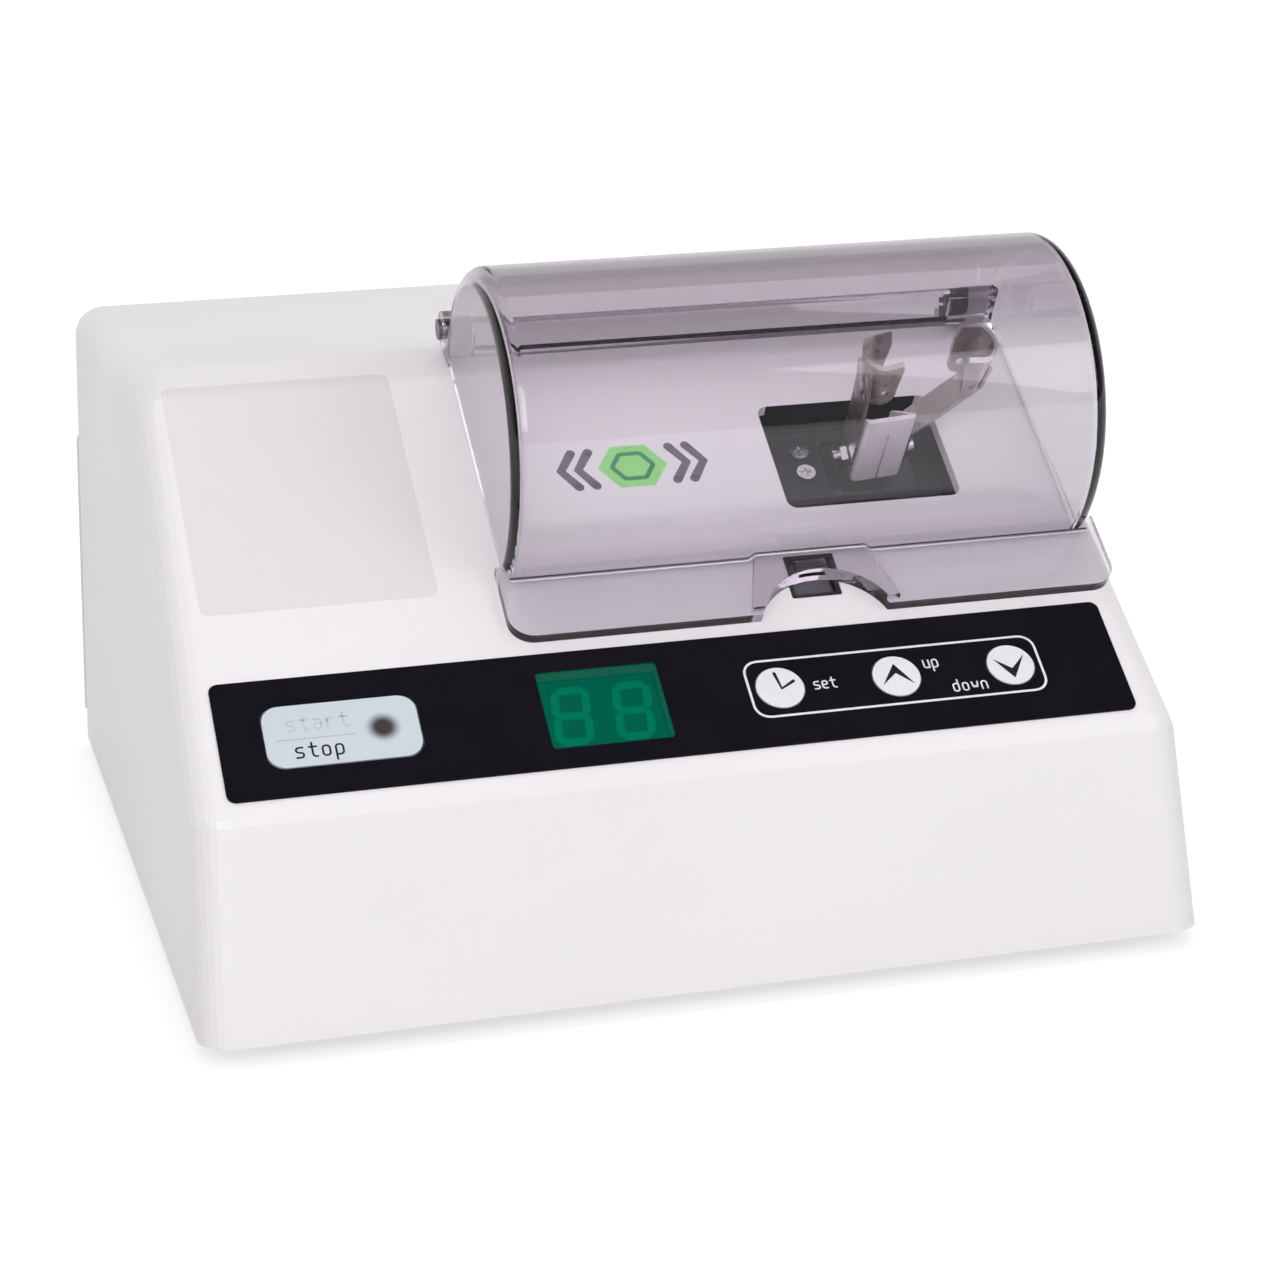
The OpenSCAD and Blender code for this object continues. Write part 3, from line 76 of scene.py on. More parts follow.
def maths(tree, operation, a, b, clamp=False):
    return node(tree, "ShaderNodeMath", (0, a), (1, b), operation=operation, use_clamp=clamp).outputs[0]


def times(tree, a, b):
    return maths(tree, "MULTIPLY", a, b)


def ramp(tree, value, start, end, low=0.0, high=1.0, **settings):
    """Goes from low to high while value goes from start to end."""
    return node(tree, "ShaderNodeMapRange", ("Value", value), ("From Min", start), ("From Max", end),
                ("To Min", low), ("To Max", high), **settings).outputs[0]


def mix_colours(tree, share, plain, other):
    return node(tree, "ShaderNodeMix", ("Factor", share), (6, plain), (7, other), data_type="RGBA").outputs[2]


def seen_ray(tree):
    """1 for what the eye sees straight on or through clear plastic."""
    path = node(tree, "ShaderNodeLightPath").outputs
    return maths(tree, "MAXIMUM", path["Is Camera Ray"], path["Is Transmission Ray"])


def put(name, verts, faces):
    mesh = bpy.data.meshes.new(name)
    mesh.from_pydata([tuple(v) for v in verts], [], faces)
    made = bpy.data.objects.new(name, mesh)
    scene.collection.objects.link(made)
    return made


room = bpy.data.worlds.new("studio_room")
scene.world = room
room.use_nodes = True
tree = room.node_tree
tree.nodes.clear()
soft = node(tree, "ShaderNodeBackground", ("Color", (*ROOM_COLOUR, 1)), ("Strength", ROOM_LIGHT))
white = node(tree, "ShaderNodeBackground", ("Color", (1, 1, 1, 1)), ("Strength", 1.0))
heading = node(tree, "ShaderNodeTexCoord").outputs["Generated"]
toward = node(tree, "ShaderNodeSeparateXYZ", (0, heading)).outputs
low = ramp(tree, toward["Z"], *WALL_TOP)
behind = ramp(tree, toward["Y"], *WALL_SIDE)
wall = ramp(tree, times(tree, low, behind), 0, 1, *WALL_LIGHT)
mirrored = node(tree, "ShaderNodeBackground", ("Color", (*WALL_COLOUR, 1)), ("Strength", wall))
gloss = node(tree, "ShaderNodeLightPath").outputs["Is Glossy Ray"]
lit = node(tree, "ShaderNodeMixShader", (0, gloss), (1, soft.outputs[0]), (2, mirrored.outputs[0]))
both = node(tree, "ShaderNodeMixShader", (0, seen_ray(tree)), (1, lit.outputs[0]), (2, white.outputs[0]))
node(tree, "ShaderNodeOutputWorld", ("Surface", both.outputs[0]))

corners = [(-BENCH, -BENCH, 0), (BENCH, -BENCH, 0), (BENCH, BENCH, 0), (-BENCH, BENCH, 0)]
bench = put("bench", corners, [(0, 1, 2, 3)])
paint = bpy.data.materials.new("bench_laminate")
paint.use_nodes = True
tree = paint.node_tree
tree.nodes.clear()
where = node(tree, "ShaderNodeTexCoord").outputs["Object"]
cloud = node(tree, "ShaderNodeTexNoise", ("Vector", where), ("Scale", BENCH_PATCH))
matt = node(tree, "ShaderNodeBsdfDiffuse", ("Color", mix_colours(tree, cloud.outputs[0], *BENCH_TONES)))
away = node(tree, "ShaderNodeVectorMath", (0, where), operation="LENGTH").outputs["Value"]
gloss = node(tree, "ShaderNodeLightPath").outputs["Is Glossy Ray"]
fade = ramp(tree, away, *BENCH_REACH, *BENCH_GLOW)
shown = maths(tree, "MAXIMUM", seen_ray(tree), gloss)
glow = node(tree, "ShaderNodeEmission", ("Color", (1, 1, 1, 1)), ("Strength", times(tree, shown, fade)))
total = node(tree, "ShaderNodeAddShader", (0, matt.outputs[0]), (1, glow.outputs[0]))
node(tree, "ShaderNodeOutputMaterial", ("Surface", total.outputs[0]))
bench.data.materials.append(paint)

for name, (place, target, size, watts, colour) in LAMPS.items():
    lamp = bpy.data.lights.new(name, "AREA")
    lamp.shape, lamp.size, lamp.size_y = "RECTANGLE", size[0], size[1]
    lamp.energy, lamp.color = watts, colour
    holder = bpy.data.objects.new(name, lamp)
    holder.location = place
    holder.visible_glossy = name != "lamp_top"  # it stands behind a diffuser, so that no gloss shows it
    holder.rotation_euler = (Vector(target) - Vector(place)).to_track_quat("-Z", "Y").to_euler()
    scene.collection.objects.link(holder)

turn, dip, roll = (math.radians(v) for v in (EYE_TURN, EYE_DIP, EYE_ROLL))
ahead = Vector((-math.sin(turn) * math.cos(dip), math.cos(turn) * math.cos(dip), -math.sin(dip)))
level = ahead.cross(Vector((0, 0, 1))).normalized()
upright = level.cross(ahead)
across = math.cos(roll) * level + math.sin(roll) * upright
upward = -math.sin(roll) * level + math.cos(roll) * upright
eye = bpy.data.objects.new("eye", bpy.data.cameras.new("eye"))
eye.data.lens, eye.data.sensor_width, eye.data.clip_start = EYE_LENS, 36, 0.01
eye.matrix_world = Matrix.Translation(EYE) @ Matrix((across, upward, -ahead)).transposed().to_4x4()
scene.collection.objects.link(eye)
scene.camera = eye

# Casing
#
# One white shell, injection moulded with a fine satin skin and a faint lilac cast. It covers the
# machine from the front foot to the rear edge and carries the panel, the opening and the hinge lugs.
SLOPE = Matrix.Translation((0, -0.12975, 0.05)) @ Matrix.Rotation(math.radians(39.5), 4, "X")
PATCH_SHARE, NOISE_SPAN = 0.75, (0.3, 0.7)
ROUGH_SPREAD = 0.85, 1.18
EDGE_TURN, EDGE_SHARE = (0.995, 0.90), 0.7


def slope(x, s, h):
    """A point given in millimetres across, up along and above the sloping face."""
    return SLOPE @ (Vector((x, s, h)) / 1000)


def finish(name, colour, rough, blotch=0.03, blotch_size=0.05, grain=0.08, grain_size=0.0007,
           metal=0.0, stretch=None, wear_and_sheen=None, wear_and_sheen_width=0.0006, glow=0.0, **sockets):
    """A finish with uneven colour and roughness, a fine grain in the skin and edges of another colour: wear
    on most finishes, a painted highlight on the white mouldings.
    """
    made = bpy.data.materials.new(name)
    made.use_nodes = True
    tree = made.node_tree
    shader = tree.nodes["Principled BSDF"]
    where = node(tree, "ShaderNodeTexCoord").outputs["Object"]
    near = where
    if stretch:
        near = node(tree, "ShaderNodeMapping", ("Vector", where), ("Scale", stretch)).outputs[0]
    patch = node(tree, "ShaderNodeTexNoise", ("Vector", where), ("Scale", 1 / blotch_size), ("Detail", 4.0),
                 ("Roughness", 0.6)).outputs[0]
    fine = node(tree, "ShaderNodeTexNoise", ("Vector", near), ("Scale", 1 / grain_size),
                ("Detail", 3.0)).outputs[0]
    mixed = maths(tree, "ADD", times(tree, patch, PATCH_SHARE), times(tree, fine, 1 - PATCH_SHARE))
    spread = ramp(tree, mixed, *NOISE_SPAN)
    dark = tuple(c * (1 - blotch) for c in colour)
    pale = tuple(min(1.0, c * (1 + blotch)) for c in colour)
    tint = mix_colours(tree, spread, (*dark, 1), (*pale, 1))
    dull = ramp(tree, mixed, *NOISE_SPAN, rough * ROUGH_SPREAD[0], min(1.0, rough * ROUGH_SPREAD[1]))
    if wear_and_sheen:
        bevel = node(tree, "ShaderNodeBevel", ("Radius", wear_and_sheen_width), samples=4).outputs[0]
        flat = node(tree, "ShaderNodeNewGeometry").outputs["Normal"]
        turned = node(tree, "ShaderNodeVectorMath", (0, bevel), (1, flat),
                      operation="DOT_PRODUCT").outputs["Value"]
        edge = times(tree, ramp(tree, turned, *EDGE_TURN, 0.0, EDGE_SHARE), spread)
        tint = mix_colours(tree, edge, tint, (*wear_and_sheen, 1))
    bump = node(tree, "ShaderNodeBump", ("Height", fine), ("Strength", grain), ("Distance", grain_size * 0.3))
    tree.links.new(tint, shader.inputs["Base Color"])
    tree.links.new(dull, shader.inputs["Roughness"])
    tree.links.new(bump.outputs[0], shader.inputs["Normal"])
    shader.inputs["Metallic"].default_value = metal
    if glow:
        tree.links.new(tint, shader.inputs["Emission Color"])
        shader.inputs["Emission Strength"].default_value = glow
    for key, value in sockets.items():
        shader.inputs[key.replace("_", " ")].default_value = value
    return made


def dress(material, *names):
    """Gives the finish to CAD pieces."""
    for name in names:
        for held in nodes[name].material_slots:
            held.material = material
    return material


# Painted highlight: the casing's edges are painted a lighter white.
dress(finish("casing_white", (0.825, 0.808, 0.82), 0.34, 0.012, 0.09, 0.10, 0.0006, wear_and_sheen=(0.87, 0.85, 0.87),
             Specular_IOR_Level=0.5), "casing")

# Label plate
#
# A thin clear-coated film with rounded corners, stuck on the slope beside the cover and left bare.
# It follows the casing over the soft bend at the top.
PLATE = (-99.0, -47.7, 52.0, 118.5)
PLATE_R, PLATE_T = 2.0, 0.07
PLATE_COLUMNS, PLATE_ROWS = 34, 56
SAME = 1e-7  # corners nearer than this many metres are one


def settle(made, material, body, smooth=False):
    """Closes a new piece: outward faces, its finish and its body."""
    bm = bmesh.new()
    bm.from_mesh(made.data)
    bmesh.ops.remove_doubles(bm, verts=bm.verts, dist=SAME)
    bmesh.ops.recalc_face_normals(bm, faces=bm.faces)
    for face in bm.faces:
        face.smooth, face.material_index = smooth, 0
    bm.to_mesh(made.data)
    bm.free()
    made.data.materials.clear()
    made.data.materials.append(material)
    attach(made, body)
    return made


skin = bmesh.new()
skin.from_mesh(nodes["casing"].data)
casing_tree = BVHTree.FromBMesh(skin)
skin.free()
slope_out = (SLOPE.to_3x3() @ Vector((0, 0, 1))).normalized()


def on_casing(x, s, lift):
    """The point of the casing's skin under (x, s), lifted off it."""
    hit, _, _, _ = casing_tree.ray_cast(slope(x, s, 40), -slope_out)
    return hit + slope_out * lift / 1000


x0, x1, s0, s1 = PLATE
columns, rows = PLATE_COLUMNS, PLATE_ROWS
verts, faces, top = [], [], {}
for layer, lift in enumerate((PLATE_T, 0.0)):
    for i in range(columns + 1):
        for j in range(rows + 1):
            x, s = x0 + (x1 - x0) * i / columns, s0 + (s1 - s0) * j / rows
            dx = max(x0 + PLATE_R - x, x - (x1 - PLATE_R), 0)
            ds = max(s0 + PLATE_R - s, s - (s1 - PLATE_R), 0)
            reach = math.hypot(dx, ds)
            if reach > PLATE_R:  # corners are drawn in to the round
                k = PLATE_R / reach
                cx = min(max(x, x0 + PLATE_R), x1 - PLATE_R)
                cs = min(max(s, s0 + PLATE_R), s1 - PLATE_R)
                x, s = cx + (x - cx) * k, cs + (s - cs) * k
            top[layer, i, j] = len(verts)
            verts.append(on_casing(x, s, lift))
for layer in (0, 1):
    for i in range(columns):
        for j in range(rows):
            quad = [top[layer, i, j], top[layer, i + 1, j], top[layer, i + 1, j + 1], top[layer, i, j + 1]]
            faces.append(quad if layer == 0 else quad[::-1])
rim = [(i, 0) for i in range(columns)] + [(columns, j) for j in range(rows)]
rim += [(i, rows) for i in range(columns, 0, -1)] + [(0, j) for j in range(rows, 0, -1)]
for a, b in zip(rim, rim[1:] + rim[:1]):
    faces.append([top[(0, *a)], top[(1, *a)], top[(1, *b)], top[(0, *b)]])
plate_film = finish("plate_film", (0.735, 0.715, 0.72), 0.36, 0.004, 0.12, 0.04, 0.0011,
                    Specular_IOR_Level=0.4)
plate = settle(put("label_plate", verts, faces), plate_film, "base", smooth=True)
plate.data.set_sharp_from_angle(angle=math.radians(30))

# Chassis and rear panel
#
# Sheet steel, bent up at the back into the rear panel and powder coated in an off-white with a
# slight orange-peel skin. The vents, screw holes and cut-outs are punched before coating.
dress(finish("chassis_white", (0.78, 0.76, 0.79), 0.42, 0.02, 0.06, 0.35, 0.0012, wear_and_sheen=(0.62, 0.62, 0.64)),
      "chassis")

# Feet and screws
#
# Four pressed rubber feet, each held by a screw sunk in its middle. The screws are zinc-plated steel,
# and those of the casing have a domed head, a cross recess and a rolled thread.
dress(finish("rubber_black", (0.035, 0.034, 0.038), 0.78, 0.15, 0.01, 0.5, 0.0005), "feet", "rubber_mounts")
steel = finish("steel", (0.50, 0.50, 0.52), 0.26, 0.10, 0.006, 0.15, 0.0002, metal=1.0,
               wear_and_sheen=(0.75, 0.75, 0.76), wear_and_sheen_width=0.0003)
dress(steel, "motor_shaft", "bearing_inner_ring", "bearing_outer_ring", "motor_bearings", "foot_screws",
      "inner_screws", "mount_screws", "hub_screw", "balance_weight", "prong_screw", "tail_pin", "board_posts")


def grow(source, tree, **inputs):
    """Runs a Geometry Nodes tree on source and returns the plain mesh it makes."""
    maker = source.modifiers.new("maker", "NODES")
    maker.node_group = tree
    for item in tree.interface.items_tree:
        if item.in_out == "INPUT" and item.name in inputs:
            maker[item.identifier] = inputs[item.name]
    bpy.context.view_layer.update()
    made = bpy.data.meshes.new_from_object(source.evaluated_get(bpy.context.evaluated_depsgraph_get()))
    bpy.data.objects.remove(source)
    return made


def new_tree(name, geometry, numbers):
    """A Geometry Nodes tree with a geometry, some numbers and a material going in."""
    tree = bpy.data.node_groups.new(name, "GeometryNodeTree")
    tree.interface.new_socket(geometry, in_out="INPUT", socket_type="NodeSocketGeometry")
    for number in numbers:
        tree.interface.new_socket(number, in_out="INPUT", socket_type="NodeSocketFloat")
    tree.interface.new_socket("Finish", in_out="INPUT", socket_type="NodeSocketMaterial")
    tree.interface.new_socket("Made", in_out="OUTPUT", socket_type="NodeSocketGeometry")
    return tree, node(tree, "NodeGroupInput").outputs


def close_tree(tree, given, *parts):
    """Joins the parts, makes instances real, sets the finish and ends the tree."""
    joined = node(tree, "GeometryNodeJoinGeometry")
    for part in parts:
        tree.links.new(part, joined.inputs[0])
    real = node(tree, "GeometryNodeRealizeInstances", ("Geometry", joined.outputs[0]))
    dressed = node(tree, "GeometryNodeSetMaterial", ("Geometry", real.outputs[0]),
                   ("Material", given["Finish"]))
    node(tree, "NodeGroupOutput", (0, dressed.outputs[0]))


def vector(tree, x, y, z):
    return node(tree, "ShaderNodeCombineXYZ", (0, x), (1, y), (2, z)).outputs[0]


HEAD_RIM = 0.5  # share of a screw head's height that is its upright rim, below the dome
CROSS_LONG, CROSS_WIDE = 1.15, 0.3  # the cross recess, as shares of the head's radius
THREAD_DEPTH, THREAD_TURN = 0.07, 9000  # share of the shank's radius, radians for each metre


def screw_tree():
    """Geometry Nodes: a domed cross-head screw stands on every point, along the point's aim."""
    tree, given = new_tree("screw", "Places", ("Head", "Dome", "Shank", "Length"))
    head, dome = given["Head"], given["Dome"]
    blank = node(tree, "GeometryNodeMeshCylinder", ("Vertices", 32), ("Fill Segments", 6), ("Radius", head),
                 ("Depth", times(tree, dome, HEAD_RIM))).outputs[0]
    place = node(tree, "GeometryNodeInputPosition").outputs[0]
    at = node(tree, "ShaderNodeSeparateXYZ", (0, place)).outputs
    squares = maths(tree, "ADD", times(tree, at[0], at[0]), times(tree, at[1], at[1]))
    near = maths(tree, "DIVIDE", maths(tree, "SQRT", squares, 0), head)
    bulge = maths(tree, "SUBTRACT", 1, times(tree, near, near), True)
    rise = times(tree, times(tree, bulge, dome), 1 - HEAD_RIM)
    above = maths(tree, "GREATER_THAN", at[2], 0)
    domed = node(tree, "GeometryNodeSetPosition", ("Geometry", blank), ("Selection", above),
                 ("Offset", vector(tree, 0, 0, rise))).outputs[0]
    raised = node(tree, "GeometryNodeTransform", ("Geometry", domed),
                  ("Translation", vector(tree, 0, 0, times(tree, dome, HEAD_RIM / 2)))).outputs[0]
    cut = node(tree, "GeometryNodeMeshBoolean", ("Mesh 1", raised), operation="DIFFERENCE")
    for wide, deep in ((CROSS_LONG, CROSS_WIDE), (CROSS_WIDE, CROSS_LONG)):
        size = vector(tree, times(tree, head, wide), times(tree, head, deep), dome)
        bar = node(tree, "GeometryNodeMeshCube", ("Size", size)).outputs[0]
        lifted = node(tree, "GeometryNodeTransform", ("Geometry", bar),
                      ("Translation", vector(tree, 0, 0, dome)))
        tree.links.new(lifted.outputs[0], cut.inputs["Mesh 2"])
    depth = maths(tree, "SUBTRACT", given["Length"], dome)
    rod = node(tree, "GeometryNodeMeshCylinder", ("Vertices", 20), ("Side Segments", 24),
               ("Radius", given["Shank"]), ("Depth", depth)).outputs[0]
    wave = maths(tree, "SINE", times(tree, at[2], THREAD_TURN), 0)
    pinch = maths(tree, "SUBTRACT", times(tree, wave, THREAD_DEPTH), THREAD_DEPTH)
    thread = node(tree, "GeometryNodeSetPosition", ("Geometry", rod),
                  ("Offset", vector(tree, times(tree, at[0], pinch), times(tree, at[1], pinch), 0)))
    sunk = node(tree, "GeometryNodeTransform", ("Geometry", thread.outputs[0]),
                ("Translation", vector(tree, 0, 0, times(tree, depth, -0.5)))).outputs[0]
    one = node(tree, "GeometryNodeJoinGeometry")
    tree.links.new(cut.outputs[0], one.inputs[0])
    tree.links.new(sunk, one.inputs[0])
    aim = node(tree, "GeometryNodeInputNamedAttribute", ("Name", "aim"), data_type="FLOAT_VECTOR").outputs[0]
    turned = node(tree, "FunctionNodeAlignEulerToVector", ("Vector", aim), axis="Z").outputs[0]
    stand = node(tree, "GeometryNodeInstanceOnPoints", ("Points", given["Places"]),
                 ("Instance", one.outputs[0]), ("Rotation", turned))
    close_tree(tree, given, stand.outputs[0])
    return tree


def solids(name):
    """The loose solids of a CAD node, each as the list of its corner points."""
    bm = bmesh.new()
    bm.from_mesh(nodes[name].data)
    bm.transform(nodes[name].matrix_world)
    bmesh.ops.remove_doubles(bm, verts=bm.verts, dist=SAME)
    left, found = set(bm.verts), []
    for first in bm.verts:
        if first not in left:
            continue
        left.remove(first)
        front, group = [first], []
        while front:
            vert = front.pop()
            group.append(vert.co.copy())
            for other in (edge.other_vert(vert) for edge in vert.link_edges):
                if other in left:
                    left.remove(other)
                    front.append(other)
        found.append(group)
    bm.free()
    return found


RIM_PLAY = 2e-5  # corners this little within the widest circle still belong to the head's rim


def screw_sizes(points, aims):
    """Seat, aim towards the head, head radius and height, shank radius and length of a CAD screw."""
    best = None
    middle = Vector((min(p[i] for p in points) + max(p[i] for p in points)) / 2 for i in range(3))
    for aim in aims:
        along = [(p - middle).dot(aim) for p in points]
        off = [((p - middle) - aim * t).length for p, t in zip(points, along)]
        wide = max(off)
        rim = [t for t, r in zip(along, off) if r > wide - RIM_PLAY]
        score = wide + (0 if sum(rim) > 0 else 1)  # the head has to lie on the side the aim points to
        if best is None or score < best[0]:
            best = (score, aim, along, off, wide, rim)
    _, aim, along, off, wide, rim = best
    seat, top, foot = min(rim), max(along), min(along)
    thin = max(r for t, r in zip(along, off) if t < (seat + foot) / 2)
    return middle + aim * seat, aim, wide, top - seat, thin, top - foot


SCREW = screw_tree()


def set_screws(name, body, aims):
    """Replaces a node of CAD screws by made ones of the same sizes."""
    sizes, parts = {}, bmesh.new()
    for points in solids(name):
        seat, aim, *rest = screw_sizes(points, aims)
        sizes.setdefault(tuple(round(v, 5) for v in rest), []).append((seat, aim))
    for (head, dome, shank, length), places in sizes.items():
        mesh = bpy.data.meshes.new("places")
        mesh.from_pydata([tuple(seat) for seat, _ in places], [], [])
        held = mesh.attributes.new("aim", "FLOAT_VECTOR", "POINT")
        for item, (_, aim) in zip(held.data, places):
            item.vector = aim
        source = bpy.data.objects.new("places", mesh)
        scene.collection.objects.link(source)
        parts.from_mesh(grow(source, SCREW, Head=head, Dome=dome, Shank=shank, Length=length, Finish=steel))
    # Cutting the recess gives corners and faces in another order each run, so both are sorted.
    verts = sorted(parts.verts, key=lambda vert: tuple(vert.co))
    number = {vert: i for i, vert in enumerate(verts)}
    faces = []
    for face in parts.faces:
        ring = [number[vert] for vert in face.verts]
        start = ring.index(min(ring))
        faces.append(ring[start:] + ring[:start])
    made = put(name + "_made", [vert.co for vert in verts], sorted(faces))
    parts.free()
    settle(made, steel, body, smooth=True)
    made.data.set_sharp_from_angle(angle=math.radians(40))
    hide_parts(name)


UP, BACK = Vector((0, 0, 1)), Vector((0, 1, 0))
set_screws("casing_screws", "base", (UP, -UP, BACK))

# Control film, keys and display
#
# A black printed polyester film is stuck on the slope. The keys move in holes in it, and the green
# display window is flush with it.
dress(finish("film_black", (0.0075, 0.0068, 0.0105), 0.36, 0.12, 0.01, 0.10, 0.0004, Specular_IOR_Level=0.09),
      "control_film")
dress(finish("window_green", (0.0, 0.13, 0.075), 0.2, 0.05, 0.01, 0.03, 0.0006, Alpha=0.6,
             Specular_IOR_Level=0.06), "display_window")
dress(finish("display_face", (0.0, 0.12, 0.07), 0.5, 0.1, 0.004, 0.1, 0.0004, glow=0.8,
             Specular_IOR_Level=0.1), "display_module")
dress(finish("segments_green", (0.0, 0.50, 0.28), 0.4, 0.06, 0.003, 0.1, 0.0004, glow=0.8,
             Specular_IOR_Level=0.1), "display_segments")
dress(finish("key_white", (0.80, 0.79, 0.81), 0.38, 0.02, 0.006, 0.08, 0.0004),
      "set_key", "up_key", "down_key")
key_pale = dress(finish("key_pale", (0.58, 0.64, 0.69), 0.33, 0.03, 0.01, 0.06, 0.0005), "start_stop_key")


def tinge(material, operation, point, start, end, colour):
    """Turns a finish to another colour where a distance, or a reach along a line, goes from start to end."""
    tree = material.node_tree
    where = node(tree, "ShaderNodeTexCoord").outputs["Object"]
    measure = node(tree, "ShaderNodeVectorMath", (0, where), (1, point), operation=operation).outputs["Value"]
    share = ramp(tree, measure, start, end, interpolation_type="SMOOTHSTEP")
    target = tree.nodes["Principled BSDF"].inputs["Base Color"]
    plain = target.links[0].from_socket
    tree.links.new(mix_colours(tree, share, plain, (*colour, 1)), target)


# The lamp behind the pad shows as a soft dark spot while it is off.
LAMP_SPOT, SPOT_EDGE = (-65.8, 18.6, 0.4), (0.0042, 0.0014)
spot = nodes["start_stop_key"].matrix_world.inverted() @ slope(*LAMP_SPOT)
tinge(key_pale, "DISTANCE", spot, *SPOT_EDGE, (0.055, 0.045, 0.05))

# Printed legends
#
# Screen-printed lines, words and signs on the film and on the keys, in white, grey and black ink.
INK_T = 0.03  # thickness of the ink, mm
LETTERS = {
    "a": [[(0.05, 1), (0.6, 1), (0.6, 0), (0, 0), (0, 0.55), (0.6, 0.55)]],
    "d": [[(0.6, 1.5), (0.6, 0), (0, 0), (0, 1), (0.6, 1)]],
    "e": [[(0, 0.5), (0.6, 0.5), (0.6, 1), (0, 1), (0, 0), (0.55, 0)]],
    "n": [[(0, 0), (0, 1), (0.6, 1), (0.6, 0)]],
    "o": [[(0.3, 0), (0, 0), (0, 1), (0.6, 1), (0.6, 0), (0.3, 0)]],
    "p": [[(0, -0.5), (0, 1), (0.6, 1), (0.6, 0), (0, 0)]],
    "r": [[(0, 0), (0, 1)], [(0, 0.7), (0.25, 1), (0.6, 1)]],
    "s": [[(0.58, 1), (0, 1), (0, 0.52), (0.6, 0.48), (0.6, 0), (0, 0)]],
    "t": [[(0.25, 1.4), (0.25, 0), (0.62, 0)], [(0, 1), (0.6, 1)]],
    "u": [[(0, 1), (0, 0), (0.6, 0)], [(0.6, 1), (0.6, 0)]],
    "w": [[(0, 1), (0.14, 0), (0.33, 0.7), (0.52, 0), (0.66, 1)]],
}


def word(text, x, s, high, pitch):
    """Strokes of a word whose x-height is high, with its first letter's foot at (x, s)."""
    return [[(x + i * pitch + u * high, s + v * high) for u, v in stroke]
            for i, letter in enumerate(text) for stroke in LETTERS[letter]]


def line_tree():
    """Geometry Nodes: strokes become flat printed lines with rounded corners and ends."""
    tree, given = new_tree("printed_line", "Strokes", ("Width", "Thickness", "Corner"))
    bent = node(tree, "GeometryNodeFilletCurve", ("Curve", given["Strokes"]), ("Radius", given["Corner"]),
                ("Count", 5), ("Limit Radius", True), mode="POLY")
    upright = node(tree, "GeometryNodeSetCurveNormal", ("Curve", bent.outputs[0]), mode="Z_UP")
    strip = node(tree, "GeometryNodeCurvePrimitiveQuadrilateral", ("Width", given["Width"]),
                 ("Height", given["Thickness"]))
    drawn = node(tree, "GeometryNodeCurveToMesh", ("Curve", upright.outputs[0]),
                 ("Profile Curve", strip.outputs[0]), ("Fill Caps", True))
    ends = node(tree, "GeometryNodeCurveEndpointSelection")
    dot = node(tree, "GeometryNodeMeshCylinder", ("Vertices", 16), ("Depth", given["Thickness"]),
               ("Radius", times(tree, given["Width"], 0.5)))
    caps = node(tree, "GeometryNodeInstanceOnPoints", ("Points", upright.outputs[0]),
                ("Selection", ends.outputs[0]), ("Instance", dot.outputs[0]))
    close_tree(tree, given, drawn.outputs[0], caps.outputs[0])
    return tree


PRINTED_LINE = line_tree()


def print_strokes(name, strokes, width, corner, h, ink, body, closed=False):
    """Prints strokes given in slope millimetres at height h."""
    curve = bpy.data.curves.new(name, "CURVE")
    curve.dimensions = "3D"
    for stroke in strokes:
        spline = curve.splines.new("POLY")
        spline.points.add(len(stroke) - 1)
        for point, (x, s) in zip(spline.points, stroke):
            point.co = (x / 1000, s / 1000, 0, 1)
        spline.use_cyclic_u = closed
    source = bpy.data.objects.new(name + "_strokes", curve)
    scene.collection.objects.link(source)
    mesh = grow(source, PRINTED_LINE, Width=width / 1000, Thickness=INK_T / 1000, Corner=corner / 1000,
                Finish=ink)
    mesh.transform(SLOPE @ Matrix.Translation((0, 0, (h + INK_T / 2) / 1000)))
    mesh.name = name
    made = bpy.data.objects.new(name, mesh)
    scene.collection.objects.link(made)
    return settle(made, ink, body)


def print_patch(name, outlines, h, ink, body, thick=INK_T):
    """Prints filled shapes given by their outlines in slope millimetres."""
    verts, faces = [], []
    for outline in outlines:
        n, at = len(outline), len(verts)
        verts += [slope(x, s, h) for x, s in outline] + [slope(x, s, h + thick) for x, s in outline]
        faces += [list(range(at, at + n))[::-1], list(range(at + n, at + 2 * n))]
        faces += [[at + i, at + (i + 1) % n, at + n + (i + 1) % n, at + n + i] for i in range(n)]
    return settle(put(name, verts, faces), ink, body)


ink_white = finish("ink_white", (0.80, 0.79, 0.82), 0.45, 0.04, 0.003, 0.1, 0.0002)
ink_grey = finish("ink_grey", (0.47, 0.50, 0.55), 0.45, 0.05, 0.003, 0.1, 0.0002)
ink_faint = finish("ink_faint", (0.51, 0.56, 0.62), 0.45, 0.05, 0.003, 0.1, 0.0002)
ink_black = finish("ink_black", (0.012, 0.011, 0.016), 0.4, 0.1, 0.003, 0.1, 0.0002)
FILM_TOP = 0.4  # height of the film and of the keys over the slope, mm
FRAME_X0, FRAME_X1, FRAME_S0, FRAME_S1 = 13.5, 80.0, 11.1, 25.9
frame_line = [(FRAME_X0, FRAME_S0), (FRAME_X1, FRAME_S0), (FRAME_X1, FRAME_S1), (FRAME_X0, FRAME_S1)]
print_strokes("key_frame_print", [frame_line], 0.55, 3.2, FILM_TOP, ink_white, "base",
              closed=True)
legend = word("set", 28.0, 17.2, 1.9, 1.85) + word("up", 53.7, 19.9, 2.0, 1.95)
legend += word("down", 58.6, 12.9, 2.0, 2.15)
print_strokes("legend_print", legend, 0.36, 0.55, FILM_TOP, ink_white, "base")
PAD_HIGH, PAD_PITCH, PAD_LINE, PAD_CORNER = 2.5, 2.75, 0.42, 0.7
stop_word = word("stop", -84.6, 12.9, PAD_HIGH, PAD_PITCH)
